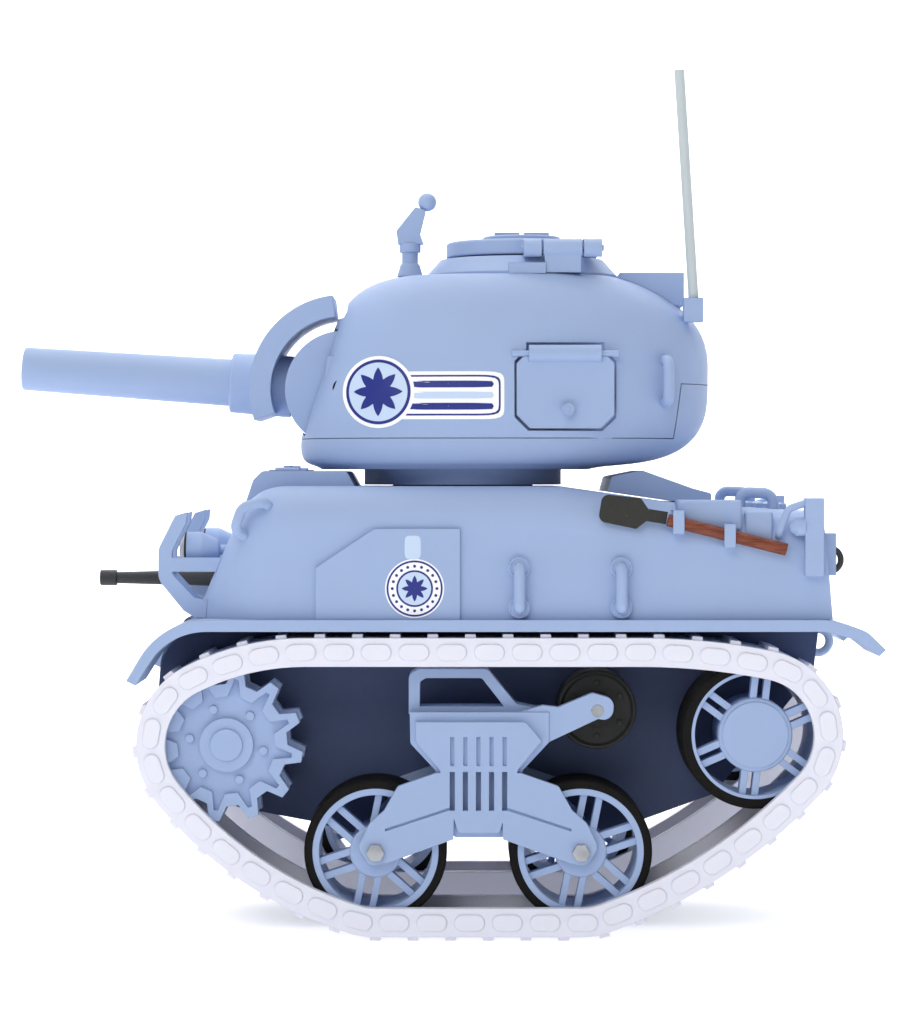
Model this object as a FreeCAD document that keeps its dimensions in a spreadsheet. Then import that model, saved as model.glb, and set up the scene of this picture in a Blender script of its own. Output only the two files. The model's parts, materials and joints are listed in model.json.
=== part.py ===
import FreeCAD, Part
import math
import os

import Sketcher

# Palm-size radio-control tank.  Millimetres, +Z up, ground at Z = 0, the gun points to -X and the
# left side of the tank faces -Y.  Left-hand pieces are drawn, right-hand pieces are their mirror image.

DIMENSIONS = [
    # lower hull
    ("hull_half", 14.0, "half width of the lower hull tub"),
    ("wall", 1.5, "wall of the tub"),
    ("floor_height", 15.2, "underside of the tub"),
    ("deck_line", 51.4, "top of the fenders and foot of the upper hull"),
    # running gear, distances from the middle plane
    ("track_in", 14.8, "inner face of the track"),
    ("track_out", 32.0, "outer face of the track"),
    ("lip_width", 1.9, "width of the track's guide lips"),
    ("lip_height", 2.9, "height of the guide lips over the web"),
    ("web", 1.7, "thickness of the track web"),
    ("grouser", 0.6, "height of the grousers"),
    ("boss", 0.3, "height of the oval bosses on the track's side"),
    ("link_pitch", 6.03, "wanted pitch of the track links"),
    ("wheel_in", 17.2, "inner face of the wheels"),
    ("wheel_out", 29.8, "outer face of the wheels"),
    ("wheel_height", 14.05, "height of the road wheel axles"),
    ("front_wheel_x", -10.5, "front road wheel"),
    ("rear_wheel_x", 22.5, "rear road wheel"),
    ("wheel_tyre", 11.5, "road wheel tyre radius"),
    ("wheel_rim", 10.14, "road wheel rim radius"),
    ("sprocket_x", -34.5, "drive sprocket"),
    ("sprocket_height", 31.2, "drive sprocket axle"),
    ("sprocket_tip", 12.35, "radius over the teeth"),
    ("sprocket_root", 9.87, "radius between the teeth"),
    ("sprocket_teeth", 12, "teeth on the sprocket"),
    ("ring_thickness", 2.8, "thickness of each toothed ring"),
    ("idler_x", 50.6, "idler"),
    ("idler_height", 32.8, "idler axle"),
    ("idler_tyre", 11.9, "idler tyre radius"),
    ("idler_rim", 10.3, "idler rim radius"),
    ("roller_x", 25.2, "return roller"),
    ("roller_height", 36.7, "return roller axle"),
    ("roller_radius", 6.4, "return roller radius"),
    ("run_gap", 0.25, "gap between wheels and track web"),
    ("pin_radius", 1.2, "wheel pins"),
    ("running_fit", 0.05, "radial play of wheels on their pins"),
    # drive train
    ("axle_radius", 1.5, "drive axle"),
    ("gear_module", 0.4, "module of the gears"),
    ("gear_teeth", 36, "teeth on the axle gear"),
    ("pinion_teeth", 9, "teeth on the motor pinion"),
    ("motor_radius", 5.0, "micro motor"),
    ("motor_length", 12.0, "micro motor"),
    # fenders and upper hull
    ("fender_out", 32.0, "outer edge of the fenders"),
    ("fender_thickness", 1.9, "fender plate"),
    ("upper_half", 30.0, "half width of the upper hull"),
    ("deck_height", 72.8, "top of the deck"),
    ("shoulder", 6.5, "rounding of the deck edge"),
    ("cheek", 14.0, "rounding of the hull's front corners, seen from above"),
    ("shell", 2.2, "thickness of the deck"),
    # turret
    ("turret_x", 3.6, "axis the turret turns about"),
    ("collar_radius", 16.7, "turret collar"),
    ("collar_gap", 0.2, "gap under the turret collar"),
    ("spigot_radius", 11.9, "spigot in the deck's hole"),
    ("turret_floor", 75.6, "underside of the turret"),
    ("turret_wall", 1.8, "wall of the turret"),
    ("split_height", 80.6, "parting line between turret base and turret shell"),
    ("gun_x", -16.4, "axis the gun tilts about"),
    ("gun_height", 89.0, "axis the gun tilts about"),
    ("rotor_radius", 9.8, "gun rotor"),
    ("rotor_half", 8.6, "half width of the gun rotor"),
    ("gun_rise", 3.9, "degrees the gun points up at rest"),
    ("shield_in", 12.2, "inner radius of the gun shield"),
    ("shield_out", 15.8, "outer radius of the gun shield"),
    ("shield_half", 9.2, "half width of the gun shield"),
    ("muzzle", 54.8, "from the gun's axis to the muzzle"),
    ("cupola_x", 13.6, "cupola centre"),
    ("roof_height", 107.9, "turret roof"),
    ("hatch_radius", 12.8, "cupola hatch"),
]

V = FreeCAD.Vector
doc = FreeCAD.newDocument("rc_tank")
sheet = doc.addObject("Spreadsheet::Sheet", "dims")
for row, (alias, value, note) in enumerate(DIMENSIONS, start=1):
    sheet.set("A%d" % row, note)
    sheet.set("B%d" % row, str(value))
    sheet.setAlias("B%d" % row, alias)
doc.recompute()
PIECES = []


def dim(alias):
    """A driving dimension, read from the sheet."""
    return float(getattr(sheet, alias))


def polar(radius, degrees, centre=(0.0, 0.0)):
    """Point at a radius and an angle from a centre."""
    angle = math.radians(degrees)
    return centre[0] + radius * math.cos(angle), centre[1] + radius * math.sin(angle)


def keep(obj, label):
    """Name an object as one of the tank's pieces."""
    obj.Label = label
    PIECES.append(obj)
    return obj


# ---------------------------------------------------------------- sketches and features


def origin_of(body, role):
    """The body's own origin plane or axis of that role."""
    return next(item for item in body.Origin.OriginFeatures if item.Role == role)


def new_body(name):
    return doc.addObject("PartDesign::Body", name)


def sketch_on(body, role, distance="0"):
    """Sketch on an origin plane; XZ_Plane sketches look along +Y and their normal is -Y."""
    sketch = body.newObject("Sketcher::SketchObject", body.Name + "_sketch")
    sketch.AttachmentSupport = (origin_of(body, role), "")
    sketch.MapMode = "FlatFace"
    sketch.setExpression("AttachmentOffset.Base.z", distance)
    return sketch


def rounded(points):
    """Edges of a closed outline whose points are (x, y) or (x, y, corner radius)."""
    corners = []
    for i, point in enumerate(points):
        here = V(point[0], point[1], 0)
        radius = point[2] if len(point) > 2 else 0.0
        if radius == 0.0:
            corners.append((here, None, here))
            continue
        before = V(points[i - 1][0], points[i - 1][1], 0) - here
        after_point = points[(i + 1) % len(points)]
        after = V(after_point[0], after_point[1], 0) - here
        before.normalize()
        after.normalize()
        half = before.getAngle(after) / 2.0
        middle = before + after
        middle.normalize()
        reach = radius / math.tan(half)
        bulge = radius / math.sin(half) - radius
        corners.append((here + before * reach, here + middle * bulge, here + after * reach))
    edges = []
    for i, (start, middle, end) in enumerate(corners):
        if middle is not None:
            edges.append(Part.Arc(start, middle, end))
        following = corners[(i + 1) % len(corners)][0]
        if end.distanceToPoint(following) > 1e-6:
            edges.append(Part.LineSegment(end, following))
    return edges


def draw(sketch, points):
    """Add a closed outline to the sketch and block it in place."""
    for edge in rounded(points):
        index = sketch.addGeometry(edge, False)
        sketch.addConstraint(Sketcher.Constraint("Block", index))


def draw_circle(sketch, radius, x=0.0, y=0.0):
    """Add a circle whose radius follows the expression."""
    index = sketch.addGeometry(Part.Circle(V(x, y, 0), V(0, 0, 1), 1.0), False)
    if x == 0.0 and y == 0.0:
        sketch.addConstraint(Sketcher.Constraint("Coincident", index, 3, -1, 1))
    else:
        sketch.addConstraint(Sketcher.Constraint("DistanceX", -1, 1, index, 3, x))
        sketch.addConstraint(Sketcher.Constraint("DistanceY", -1, 1, index, 3, y))
    number = sketch.addConstraint(Sketcher.Constraint("Radius", index, 1.0))
    sketch.setExpression("Constraints[%d]" % number, str(radius))


def pad(body, sketch, length, both_ways=False):
    feature = body.newObject("PartDesign::Pad", body.Name + "_pad")
    feature.Profile = sketch
    feature.setExpression("Length", length)
    if both_ways:
        feature.SideType = "Symmetric"
    return feature


def pocket(body, sketch, length, both_ways=False):
    """Cut against the sketch's normal, and make sure that it cut something."""
    doc.recompute()
    before = body.Shape.Volume
    feature = body.newObject("PartDesign::Pocket", body.Name + "_pocket")
    feature.Profile = sketch
    feature.setExpression("Length", length)
    if both_ways:
        feature.SideType = "Symmetric"
    doc.recompute()
    if body.Shape.Volume > before - 1e-6:
        raise RuntimeError("%s cuts nothing" % feature.Name)
    return feature


def plate(name, role, points, length, distance="0", both_ways=False, hole=None):
    """Body made of one padded outline, with an optional second outline as its hole."""
    body = new_body(name)
    sketch = sketch_on(body, role, distance)
    draw(sketch, points)
    if hole:
        draw(sketch, hole)
    pad(body, sketch, length, both_ways)
    return body


TURNING_PLANES = {"X_Axis": "XY_Plane", "Y_Axis": "YZ_Plane", "Z_Axis": "XZ_Plane"}


def turned(name, axis, profile):
    """Body turned about an origin axis; the profile's points are (along the axis, radius)."""
    body = new_body(name)
    sketch = sketch_on(body, TURNING_PLANES[axis])
    if axis == "Z_Axis":
        profile = [(point[1], point[0]) + tuple(point[2:]) for point in profile]
    draw(sketch, profile)
    feature = body.newObject("PartDesign::Revolution", body.Name + "_turn")
    feature.Profile = sketch
    feature.ReferenceAxis = (origin_of(body, axis), [""])
    feature.Angle = 360.0
    return body


def place(obj, x="0", y="0", z="0"):
    """Bind an object's place to the sheet."""
    obj.setExpression("Placement.Base.x", x)
    obj.setExpression("Placement.Base.y", y)
    obj.setExpression("Placement.Base.z", z)
    return obj


# ---------------------------------------------------------------- primitives and booleans

TURN_TO = {"X": FreeCAD.Rotation(V(0, 1, 0), 90), "Y": FreeCAD.Rotation(V(1, 0, 0), 90),
           "Z": FreeCAD.Rotation()}


def rod(name, along, radius, length, x="0", y="0", z="0"):
    """Cylinder along +X, -Y or +Z from the point given."""
    obj = doc.addObject("Part::Cylinder", name)
    obj.setExpression("Radius", str(radius))
    obj.setExpression("Height", str(length))
    obj.Placement = FreeCAD.Placement(V(0, 0, 0), TURN_TO[along])
    return place(obj, str(x), str(y), str(z))


def block(name, low, high):
    """Box between two corners given as expressions."""
    obj = doc.addObject("Part::Box", name)
    for prop, a, b in zip(("Length", "Width", "Height"), low, high):
        obj.setExpression(prop, "(%s) - (%s)" % (b, a))
    return place(obj, *[str(value) for value in low])


def fuse(name, shapes):
    obj = doc.addObject("Part::MultiFuse", name)
    obj.Shapes = shapes
    obj.Refine = True
    return obj


def cut(name, base, tool):
    obj = doc.addObject("Part::Cut", name)
    obj.Base = base
    obj.Tool = tool
    return obj


def cut_each(name, base, tools):
    """Cut the tools away one after another."""
    for number, tool in enumerate(tools):
        base = cut("%s_%d" % (name, number), base, tool)
    return base


def common(name, base, tool):
    obj = doc.addObject("Part::Common", name)
    obj.Base = base
    obj.Tool = tool
    return obj


def mirrored(name, source):
    """The same piece on the tank's right side."""
    obj = doc.addObject("Part::Mirroring", name)
    obj.Source = source
    obj.Normal = V(0, 1, 0)
    return obj


def group(name, solids):
    """Separate solids that share one node."""
    obj = doc.addObject("Part::Compound", name)
    obj.Links = solids
    return obj


def keep_pair(name, left):
    """Keep a left-hand piece and its right-hand mirror image as two pieces."""
    keep(left, "left_" + name)
    keep(mirrored("right_" + name, left), "right_" + name)


def keep_both(name, left):
    """Keep a left-hand piece and its mirror image as one node."""
    keep(group(name, [left, mirrored(name + "_right", left)]), name)


# ---------------------------------------------------------------- track


def outer_centre(first, first_radius, second, second_radius, radius):
    """Centre of the arc that both circles touch from inside, on the upper side."""
    (ax, ay), (bx, by) = first, second
    reach_a, reach_b = radius - first_radius, radius - second_radius
    gap = math.hypot(bx - ax, by - ay)
    along = (reach_a ** 2 - reach_b ** 2 + gap ** 2) / (2 * gap)
    side = math.sqrt(reach_a ** 2 - along ** 2)
    ux, uy = (bx - ax) / gap, (by - ay) / gap
    options = [(ax + along * ux - side * sign * uy, ay + along * uy + side * sign * ux) for sign in (1, -1)]
    return max(options, key=lambda point: point[1])


def bearing(centre, point):
    return math.degrees(math.atan2(point[1] - centre[1], point[0] - centre[0]))


def track_path():
    """Arcs (centre, radius, from, to) and lines (start, end) of the web's inner face, anticlockwise."""
    gap = dim("run_gap")
    front_wheel = (dim("front_wheel_x"), dim("wheel_height"))
    rear_wheel = (dim("rear_wheel_x"), dim("wheel_height"))
    sprocket = (dim("sprocket_x"), dim("sprocket_height"))
    idler = (dim("idler_x"), dim("idler_height"))
    wheel_r = dim("wheel_tyre") + gap
    sprocket_r = dim("sprocket_tip") + gap
    idler_r = dim("idler_tyre") + gap
    top = 46.8
    front_top_r, rear_top_r, front_low_r, rear_low_r = 41.0, 105.0, 63.0, 85.0

    def under_line(centre, radius, big, side):
        drop = top - big - centre[1]
        reach = math.sqrt((big - radius) ** 2 - drop ** 2)
        return centre[0] + side * reach, top - big

    front_top = under_line(sprocket, sprocket_r, front_top_r, 1)
    rear_top = under_line(idler, idler_r, rear_top_r, -1)
    front_low = outer_centre(sprocket, sprocket_r, front_wheel, wheel_r, front_low_r)
    rear_low = outer_centre(rear_wheel, wheel_r, idler, idler_r, rear_low_r)
    turns = [bearing(rear_low, rear_wheel), bearing(rear_low, idler), bearing(rear_top, idler),
             90.0, bearing(front_top, sprocket), bearing(front_low, sprocket) % 360,
             bearing(front_low, front_wheel) % 360]
    return [
        ("line", front_wheel, rear_wheel, wheel_r, -90.0),
        ("arc", rear_wheel, wheel_r, -90.0, turns[0]),
        ("arc", rear_low, rear_low_r, turns[0], turns[1]),
        ("arc", idler, idler_r, turns[1], turns[2]),
        ("arc", rear_top, rear_top_r, turns[2], turns[3]),
        ("line", rear_top, front_top, (rear_top_r, front_top_r), 90.0),
        ("arc", front_top, front_top_r, turns[3], turns[4]),
        ("arc", sprocket, sprocket_r, turns[4], turns[5]),
        ("arc", front_low, front_low_r, turns[5], turns[6]),
        ("arc", front_wheel, wheel_r, turns[6], 270.0),
    ]


def line_ends(piece, offset):
    """Ends of a straight run of the track, moved outwards by the offset."""
    _, first, second, radii, angle = piece
    radii = radii if isinstance(radii, tuple) else (radii, radii)
    return [polar(radius + offset, angle, centre) for centre, radius in zip((first, second), radii)]


def track_loop(path, offset):
    """Edges of the track's outline at an offset from the web's inner face."""
    edges = []
    for piece in path:
        if piece[0] == "line":
            start, end = line_ends(piece, offset)
            edges.append(Part.LineSegment(V(*start, 0), V(*end, 0)))
        else:
            _, centre, radius, begin, end = piece
            middle = (begin + end) / 2.0
            points = [V(*polar(radius + offset, angle, centre), 0) for angle in (begin, middle, end)]
            edges.append(Part.Arc(*points))
    return edges


def path_length(path):
    total = 0.0
    for piece in path:
        if piece[0] == "line":
            start, end = line_ends(piece, 0.0)
            total += math.hypot(end[0] - start[0], end[1] - start[1])
        else:
            total += piece[2] * math.radians(piece[4] - piece[3])
    return total


def along_track(path, distance):
    """Point on the web's inner face and the outward angle, after a distance along the loop."""
    for piece in path:
        if piece[0] == "line":
            start, end = line_ends(piece, 0.0)
            run = math.hypot(end[0] - start[0], end[1] - start[1])
            if distance <= run:
                part = distance / run
                return (start[0] + part * (end[0] - start[0]), start[1] + part * (end[1] - start[1])), piece[4]
        else:
            run = piece[2] * math.radians(piece[4] - piece[3])
            if distance <= run:
                angle = piece[3] + math.degrees(distance / piece[2])
                return polar(piece[2], angle, piece[1]), angle
        distance -= run
    return along_track(path, 0.0)


def local_outline(origin, angle, corners):
    """Corners given as (along, outward) at a place on the track, turned to lie there."""
    out = V(math.cos(math.radians(angle)), math.sin(math.radians(angle)), 0)
    way = V(-out.y, out.x, 0)
    points = [V(origin[0], origin[1], 0) + way * a + out * b for a, b in corners]
    return [(point.x, point.y) for point in points]


def track():
    """One soft band: web, guide lips on both edges, grousers outside and oval bosses on its sides."""
    path = track_path()
    count = round(path_length(path) / dim("link_pitch"))
    pitch = path_length(path) / count
    web, lip = dim("web"), dim("lip_height")
    body = new_body("left_track_body")
    ring = sketch_on(body, "XZ_Plane", "dims.track_in")
    for offset in (web, -lip):
        for edge in track_loop(path, offset):
            ring.addGeometry(edge, False)
    pad(body, ring, "dims.track_out - dims.track_in")
    channel = sketch_on(body, "XZ_Plane", "dims.track_out - dims.lip_width")
    for offset in (0.0, -lip - 1.0):
        for edge in track_loop(path, offset):
            channel.addGeometry(edge, False)
    pocket(body, channel, "dims.track_out - dims.track_in - 2 * dims.lip_width")
    grouser_top, half = web + dim("grouser"), 0.8
    bars = sketch_on(body, "XZ_Plane", "dims.track_in + 0.6")
    ovals = sketch_on(body, "XZ_Plane", "dims.track_out")
    oval_length, oval_height = 4.8, 2.6
    straight = (oval_length - oval_height) / 2.0
    middle = (web - lip) / 2.0
    for number in range(count):
        origin, angle = along_track(path, number * pitch)
        bar = [(-half - 0.2, web - 0.5), (half + 0.2, web - 0.5), (half, grouser_top), (-half, grouser_top)]
        corners = local_outline(origin, angle, bar)
        for start, end in zip(corners, corners[1:] + corners[:1]):
            bars.addGeometry(Part.LineSegment(V(*start, 0), V(*end, 0)), False)
        origin, angle = along_track(path, (number + 0.5) * pitch)
        low, high = middle - oval_height / 2.0, middle + oval_height / 2.0
        far = straight + oval_height / 2.0
        marks = [(-straight, low), (straight, low), (far, middle), (straight, high), (-straight, high),
                 (-far, middle)]
        spots = [V(x, y, 0) for x, y in local_outline(origin, angle, marks)]
        ovals.addGeometry(Part.LineSegment(spots[0], spots[1]), False)
        ovals.addGeometry(Part.Arc(spots[1], spots[2], spots[3]), False)
        ovals.addGeometry(Part.LineSegment(spots[3], spots[4]), False)
        ovals.addGeometry(Part.Arc(spots[4], spots[5], spots[0]), False)
    pad(body, bars, "dims.track_out - dims.track_in - 1.2")
    pad(body, ovals, "dims.boss")
    keep_pair("track", body)


# ---------------------------------------------------------------- wheels


def toothed(teeth, root, tip, root_share, tip_share, start=0.0):
    """Outline of a toothed ring; the shares are each tooth's part of the pitch at root and tip."""
    step = 360.0 / teeth
    points = []
    for number in range(int(teeth)):
        centre = start + number * step
        for radius, turn in ((root, -root_share), (tip, -tip_share), (tip, tip_share), (root, root_share)):
            points.append(polar(radius, centre + turn * step / 2.0))
    return points


def sprocket():
    """Two toothed rings on a drum, with a recessed star web, a hub ring and six bolts outside."""
    body = new_body("left_sprocket_body")
    root, tip, teeth = dim("sprocket_root"), dim("sprocket_tip"), dim("sprocket_teeth")
    start = 20.9
    outline = toothed(teeth, root, tip, 0.62, 0.26, start)
    for distance in ("dims.wheel_in", "dims.wheel_out - dims.ring_thickness"):
        ring = sketch_on(body, "XZ_Plane", distance)
        draw(ring, outline)
        draw_circle(ring, "dims.axle_radius")
        pad(body, ring, "dims.ring_thickness")
    drum = sketch_on(body, "XZ_Plane", "dims.wheel_in")
    draw_circle(drum, "dims.sprocket_root - 1.6")
    draw_circle(drum, "dims.axle_radius")
    pad(body, drum, "dims.wheel_out - dims.wheel_in - 1.2")
    web = sketch_on(body, "XZ_Plane", "dims.wheel_out")
    draw(web, toothed(teeth, root - 2.0, tip - 1.7, 0.5, 0.12, start))
    draw_circle(web, 4.34)
    pocket(body, web, "0.9")
    hub = sketch_on(body, "XZ_Plane", "dims.wheel_out")
    draw_circle(hub, 2.6)
    pad(body, hub, "0.4")
    bolts = sketch_on(body, "XZ_Plane", "dims.wheel_out - 1.2")
    for number in range(6):
        draw_circle(bolts, 0.69, *polar(6.0, -9.5 + 60 * number))
    pad(body, bolts, "0.9")
    place(body, "dims.sprocket_x", "0", "dims.sprocket_height")
    keep_pair("sprocket", body)


def window(sketch, near, far, first, second):
    """Opening between two spokes; each edge is (angle of the spokes' axis, distance beside it)."""
    corners = {}
    for radius in (near, far):
        for edge, (angle, beside) in enumerate((first, second)):
            corners[radius, edge] = math.radians(angle) + math.asin(beside / radius)
    for radius in (near, far):
        circle = Part.Circle(V(0, 0, 0), V(0, 0, 1), radius)
        sketch.addGeometry(Part.ArcOfCircle(circle, corners[radius, 0], corners[radius, 1]), False)
    for edge in (0, 1):
        ends = [V(radius * math.cos(corners[radius, edge]), radius * math.sin(corners[radius, edge]), 0)
                for radius in (near, far)]
        sketch.addGeometry(Part.LineSegment(*ends), False)


def spoked_wheel(name, rim, inner, hub, face, phase, half_gap):
    """Open wheel with six pairs of spokes, running on a fixed pin; its axis is along Y."""
    near, far = dim("wheel_in"), dim("wheel_out")
    bore = dim("pin_radius") + dim("running_fit")
    spoke_depth = 2.6
    web_in, web_out = far - face - spoke_depth, far - face
    profile = [(near, bore), (far - 0.3, bore), (far - 0.3, hub, 0.4), (web_out, hub), (web_out, inner),
               (far, inner), (far, rim), (near, rim), (near, inner), (web_in, inner), (web_in, hub), (near, hub)]
    body = turned(name, "Y_Axis", [(-point[0],) + point[1:] for point in profile])
    windows = sketch_on(body, "XZ_Plane", "%s" % web_out)
    spoke_in, spoke_out = half_gap, half_gap + 1.1
    for number in range(6):
        angle = phase + 60.0 * number
        window(windows, hub + 0.05, inner - 0.05, (angle, -spoke_in), (angle, spoke_in))
        window(windows, hub + 0.05, inner - 0.05, (angle, spoke_out), (angle + 60.0, -spoke_out))
    pocket(body, windows, "%s" % (spoke_depth + 0.2))
    return body


def tyre(name, rim, radius):
    """Rubber ring on a rim."""
    near, far = dim("wheel_in"), dim("wheel_out")
    return turned(name, "Y_Axis", [(-near, rim), (-far, rim), (-far, radius, 0.5), (-near, radius, 0.5)])


def road_wheels():
    for spot in ("front", "rear"):
        centre = ("dims.%s_wheel_x" % spot, "0", "dims.wheel_height")
        wheel = spoked_wheel("left_%s_wheel_body" % spot, dim("wheel_rim"), 9.1, 4.16, 0.7, 18.5, 0.72)
        keep_pair("%s_wheel" % spot, place(wheel, *centre))
        rubber = tyre("left_%s_tyre_body" % spot, dim("wheel_rim"), dim("wheel_tyre"))
        keep_pair("%s_tyre" % spot, place(rubber, *centre))


def idlers():
    centre = ("dims.idler_x", "0", "dims.idler_height")
    wheel = spoked_wheel("left_idler_body", dim("idler_rim"), 9.76, 5.95, 0.7, 23.5, 0.45)
    cap = sketch_on(wheel, "XZ_Plane", "dims.wheel_out - 0.6")
    draw_circle(cap, 5.3)
    pad(wheel, cap, "0.5")
    keep_pair("idler", place(wheel, *centre))
    keep_pair("idler_tyre", place(tyre("left_idler_tyre_body", dim("idler_rim"), dim("idler_tyre")), *centre))


def return_rollers():
    bore, radius = dim("pin_radius") - 0.2 + dim("running_fit"), dim("roller_radius")
    near, far = dim("wheel_in") + 0.3, 27.2
    body = turned("left_roller_body", "Y_Axis", [
        (-near, bore), (-far, bore), (-far, 2.4), (-far + 0.5, 3.0), (-far + 0.5, radius - 0.9),
        (-far, radius - 0.5), (-far, radius, 0.4), (-near, radius, 0.4)])
    marks = sketch_on(body, "XZ_Plane", "%s" % (far - 0.6))
    for number in range(6):
        draw_circle(marks, 0.45, *polar(4.3, 30 + 60 * number))
    pad(body, marks, "0.45")
    keep_pair("return_roller", place(body, "dims.roller_x", "0", "dims.roller_height"))


def bogie():
    """Casting between the road wheels: bracket, track skid, roller arm, wheel arms and leaf slots."""
    middle = (dim("front_wheel_x") + dim("rear_wheel_x")) / 2.0
    axle = dim("wheel_height")
    body = plate("left_bogie_body", "XZ_Plane", [
        (-5.0, 36.5), (-4.9, 31.5, 1.0), (-0.9, 27.2), (2.0, 16.4, 0.8), (10.2, 16.4, 0.8), (13.2, 27.2),
        (17.4, 31.7), (17.4, 36.5)], "30.1 - dims.hull_half", "dims.hull_half")
    skid = sketch_on(body, "XZ_Plane", "20")
    draw(skid, [(-5.2, 36.0), (-5.2, 42.4, 1.2), (-3.6, 43.3, 0.8), (7.5, 43.3, 1.2), (12.2, 37.6, 1.5),
                (17.0, 36.6), (17.0, 36.0)])
    draw(skid, [(-3.4, 37.2), (-3.4, 41.2, 0.6), (-2.4, 41.8, 0.6), (6.6, 41.8, 0.8), (10.2, 37.2)])
    pad(body, skid, "7")
    roller_arm = sketch_on(body, "XZ_Plane", "27.6")
    draw(roller_arm, [(12.0, 30.0), (12.0, 36.3), (16.4, 37.6, 0.8), (18.9, 37.3), (24.4, 39.6, 1.0),
                      (27.9, 38.6, 1.6), (27.6, 35.0, 1.6), (25.3, 35.4), (17.4, 31.7)])
    pad(body, roller_arm, "2.2")
    face = sketch_on(body, "XZ_Plane", "30.0")
    draw(face, [(-4.0, 35.0), (-4.0, 31.8, 0.8), (-0.2, 27.4), (2.8, 17.2, 0.6), (9.4, 17.2, 0.6),
                (12.4, 27.4), (16.2, 32.0), (13.6, 35.0, 1.0)])
    pad(body, face, "1.3")
    arm = [(2.4, 27.0), (-0.9, 26.8), (-6.9, 24.7, 0.8), (-9.1, 20.8), (-11.4, 18.8, 1.2), (-13.3, 14.9, 1.5),
           (-11.4, 11.9, 1.4), (-8.6, 12.4), (2.0, 16.2)]
    for distance, length in (("30.0", "1.3"), ("dims.hull_half + 0.3", "2.3")):
        arms = sketch_on(body, "XZ_Plane", distance)
        draw(arms, arm)
        draw(arms, [(2 * middle - point[0],) + tuple(point[1:]) for point in reversed(arm)])
        pad(body, arms, length)
    slots = sketch_on(body, "XZ_Plane", "31.3")
    for number in range(5):
        left = 1.45 + 2.1 * number
        draw(slots, [(left, 20.8), (left + 0.8, 20.8), (left + 0.8, 27.0), (left, 27.0)])
    pocket(body, slots, "2.2")
    grooves = sketch_on(body, "XZ_Plane", "31.3")
    for number in range(5):
        left = 1.55 + 2.1 * number
        draw(grooves, [(left, 28.0), (left + 0.6, 28.0), (left + 0.6, 32.6), (left, 32.6)])
    pocket(body, grooves, "0.5")
    seams = sketch_on(body, "XZ_Plane", "31.3")
    for side in (-1, 1):
        marks = [(-14.9, 17.5), (-14.9, 17.9), (-4.6, 21.3), (-4.6, 20.9)]
        draw(seams, [(middle - side * x, y) for x, y in marks])
    pocket(body, seams, "0.4")
    pins = sketch_on(body, "XZ_Plane", "31.3")
    for alias in ("front_wheel_x", "rear_wheel_x"):
        draw_circle(pins, "dims.pin_radius", dim(alias), axle)
    pocket(body, pins, "18")
    roller_pin = sketch_on(body, "XZ_Plane", "31.3")
    draw_circle(roller_pin, "dims.pin_radius - 0.2", dim("roller_x"), dim("roller_height"))
    pocket(body, roller_pin, "18")
    keep_pair("bogie", body)


def wheel_pins():
    """Fixed pins with hexagon heads for the road wheels, idlers and return rollers."""
    pins = []
    for name, x, z in (("front_pin", "front_wheel_x", "wheel_height"), ("rear_pin", "rear_wheel_x", "wheel_height")):
        shank = rod(name, "Y", "dims.pin_radius", "31.3 - dims.hull_half", "dims." + x, "-dims.hull_half",
                    "dims." + z)
        head = doc.addObject("Part::Prism", name + "_head")
        head.Polygon = 6
        head.Circumradius = 1.5
        head.Height = 0.7
        head.Placement = FreeCAD.Placement(V(0, -31.3, 0), TURN_TO["Y"])
        head.setExpression("Placement.Base.x", "dims." + x)
        head.setExpression("Placement.Base.z", "dims." + z)
        pins.append(fuse(name + "_whole", [shank, head]))
    pins.append(rod("idler_pin", "Y", "dims.pin_radius", "29.1 - dims.hull_half", "dims.idler_x",
                    "-dims.hull_half", "dims.idler_height"))
    pins.append(rod("roller_pin", "Y", "dims.pin_radius - 0.2", "29.8 - dims.hull_half", "dims.roller_x",
                    "-dims.hull_half", "dims.roller_height"))
    keep(group("wheel_pins", pins + [mirrored(pin.Name + "_right", pin) for pin in pins]), "wheel_pins")


# ---------------------------------------------------------------- hull

TUB_SIDE = [(-38.0, 51.4), (-38.0, 23.5, 2.0), (-34.0, 19.6, 3.0), (-21.8, 17.3), (-14.0, 15.2, 6.0),
            (27.0, 15.2, 6.0), (45.2, 21.8, 4.0), (61.7, 42.1, 4.0), (62.6, 49.5), (62.6, 51.4)]
BATTERY = ((5.0, -7.0, 17.0), (26.5, 7.0, 30.0))
BOARD_HEIGHT = 40.0
BOARD_POSTS = [(x, y) for x in (2.0, 26.0) for y in (-9.0, 9.0)]
SWITCH_X = 0.5
MOTOR_TURN = 35.0


def drive_centres():
    """Centres of the axle and of the two motors, seen from the side."""
    axle = (dim("sprocket_x"), dim("sprocket_height"))
    spread = dim("gear_module") * (dim("gear_teeth") + dim("pinion_teeth")) / 2.0 + 0.1
    return axle, {side: polar(spread, turn, axle) for side, turn in (("left", MOTOR_TURN), ("right", -MOTOR_TURN))}


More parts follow.
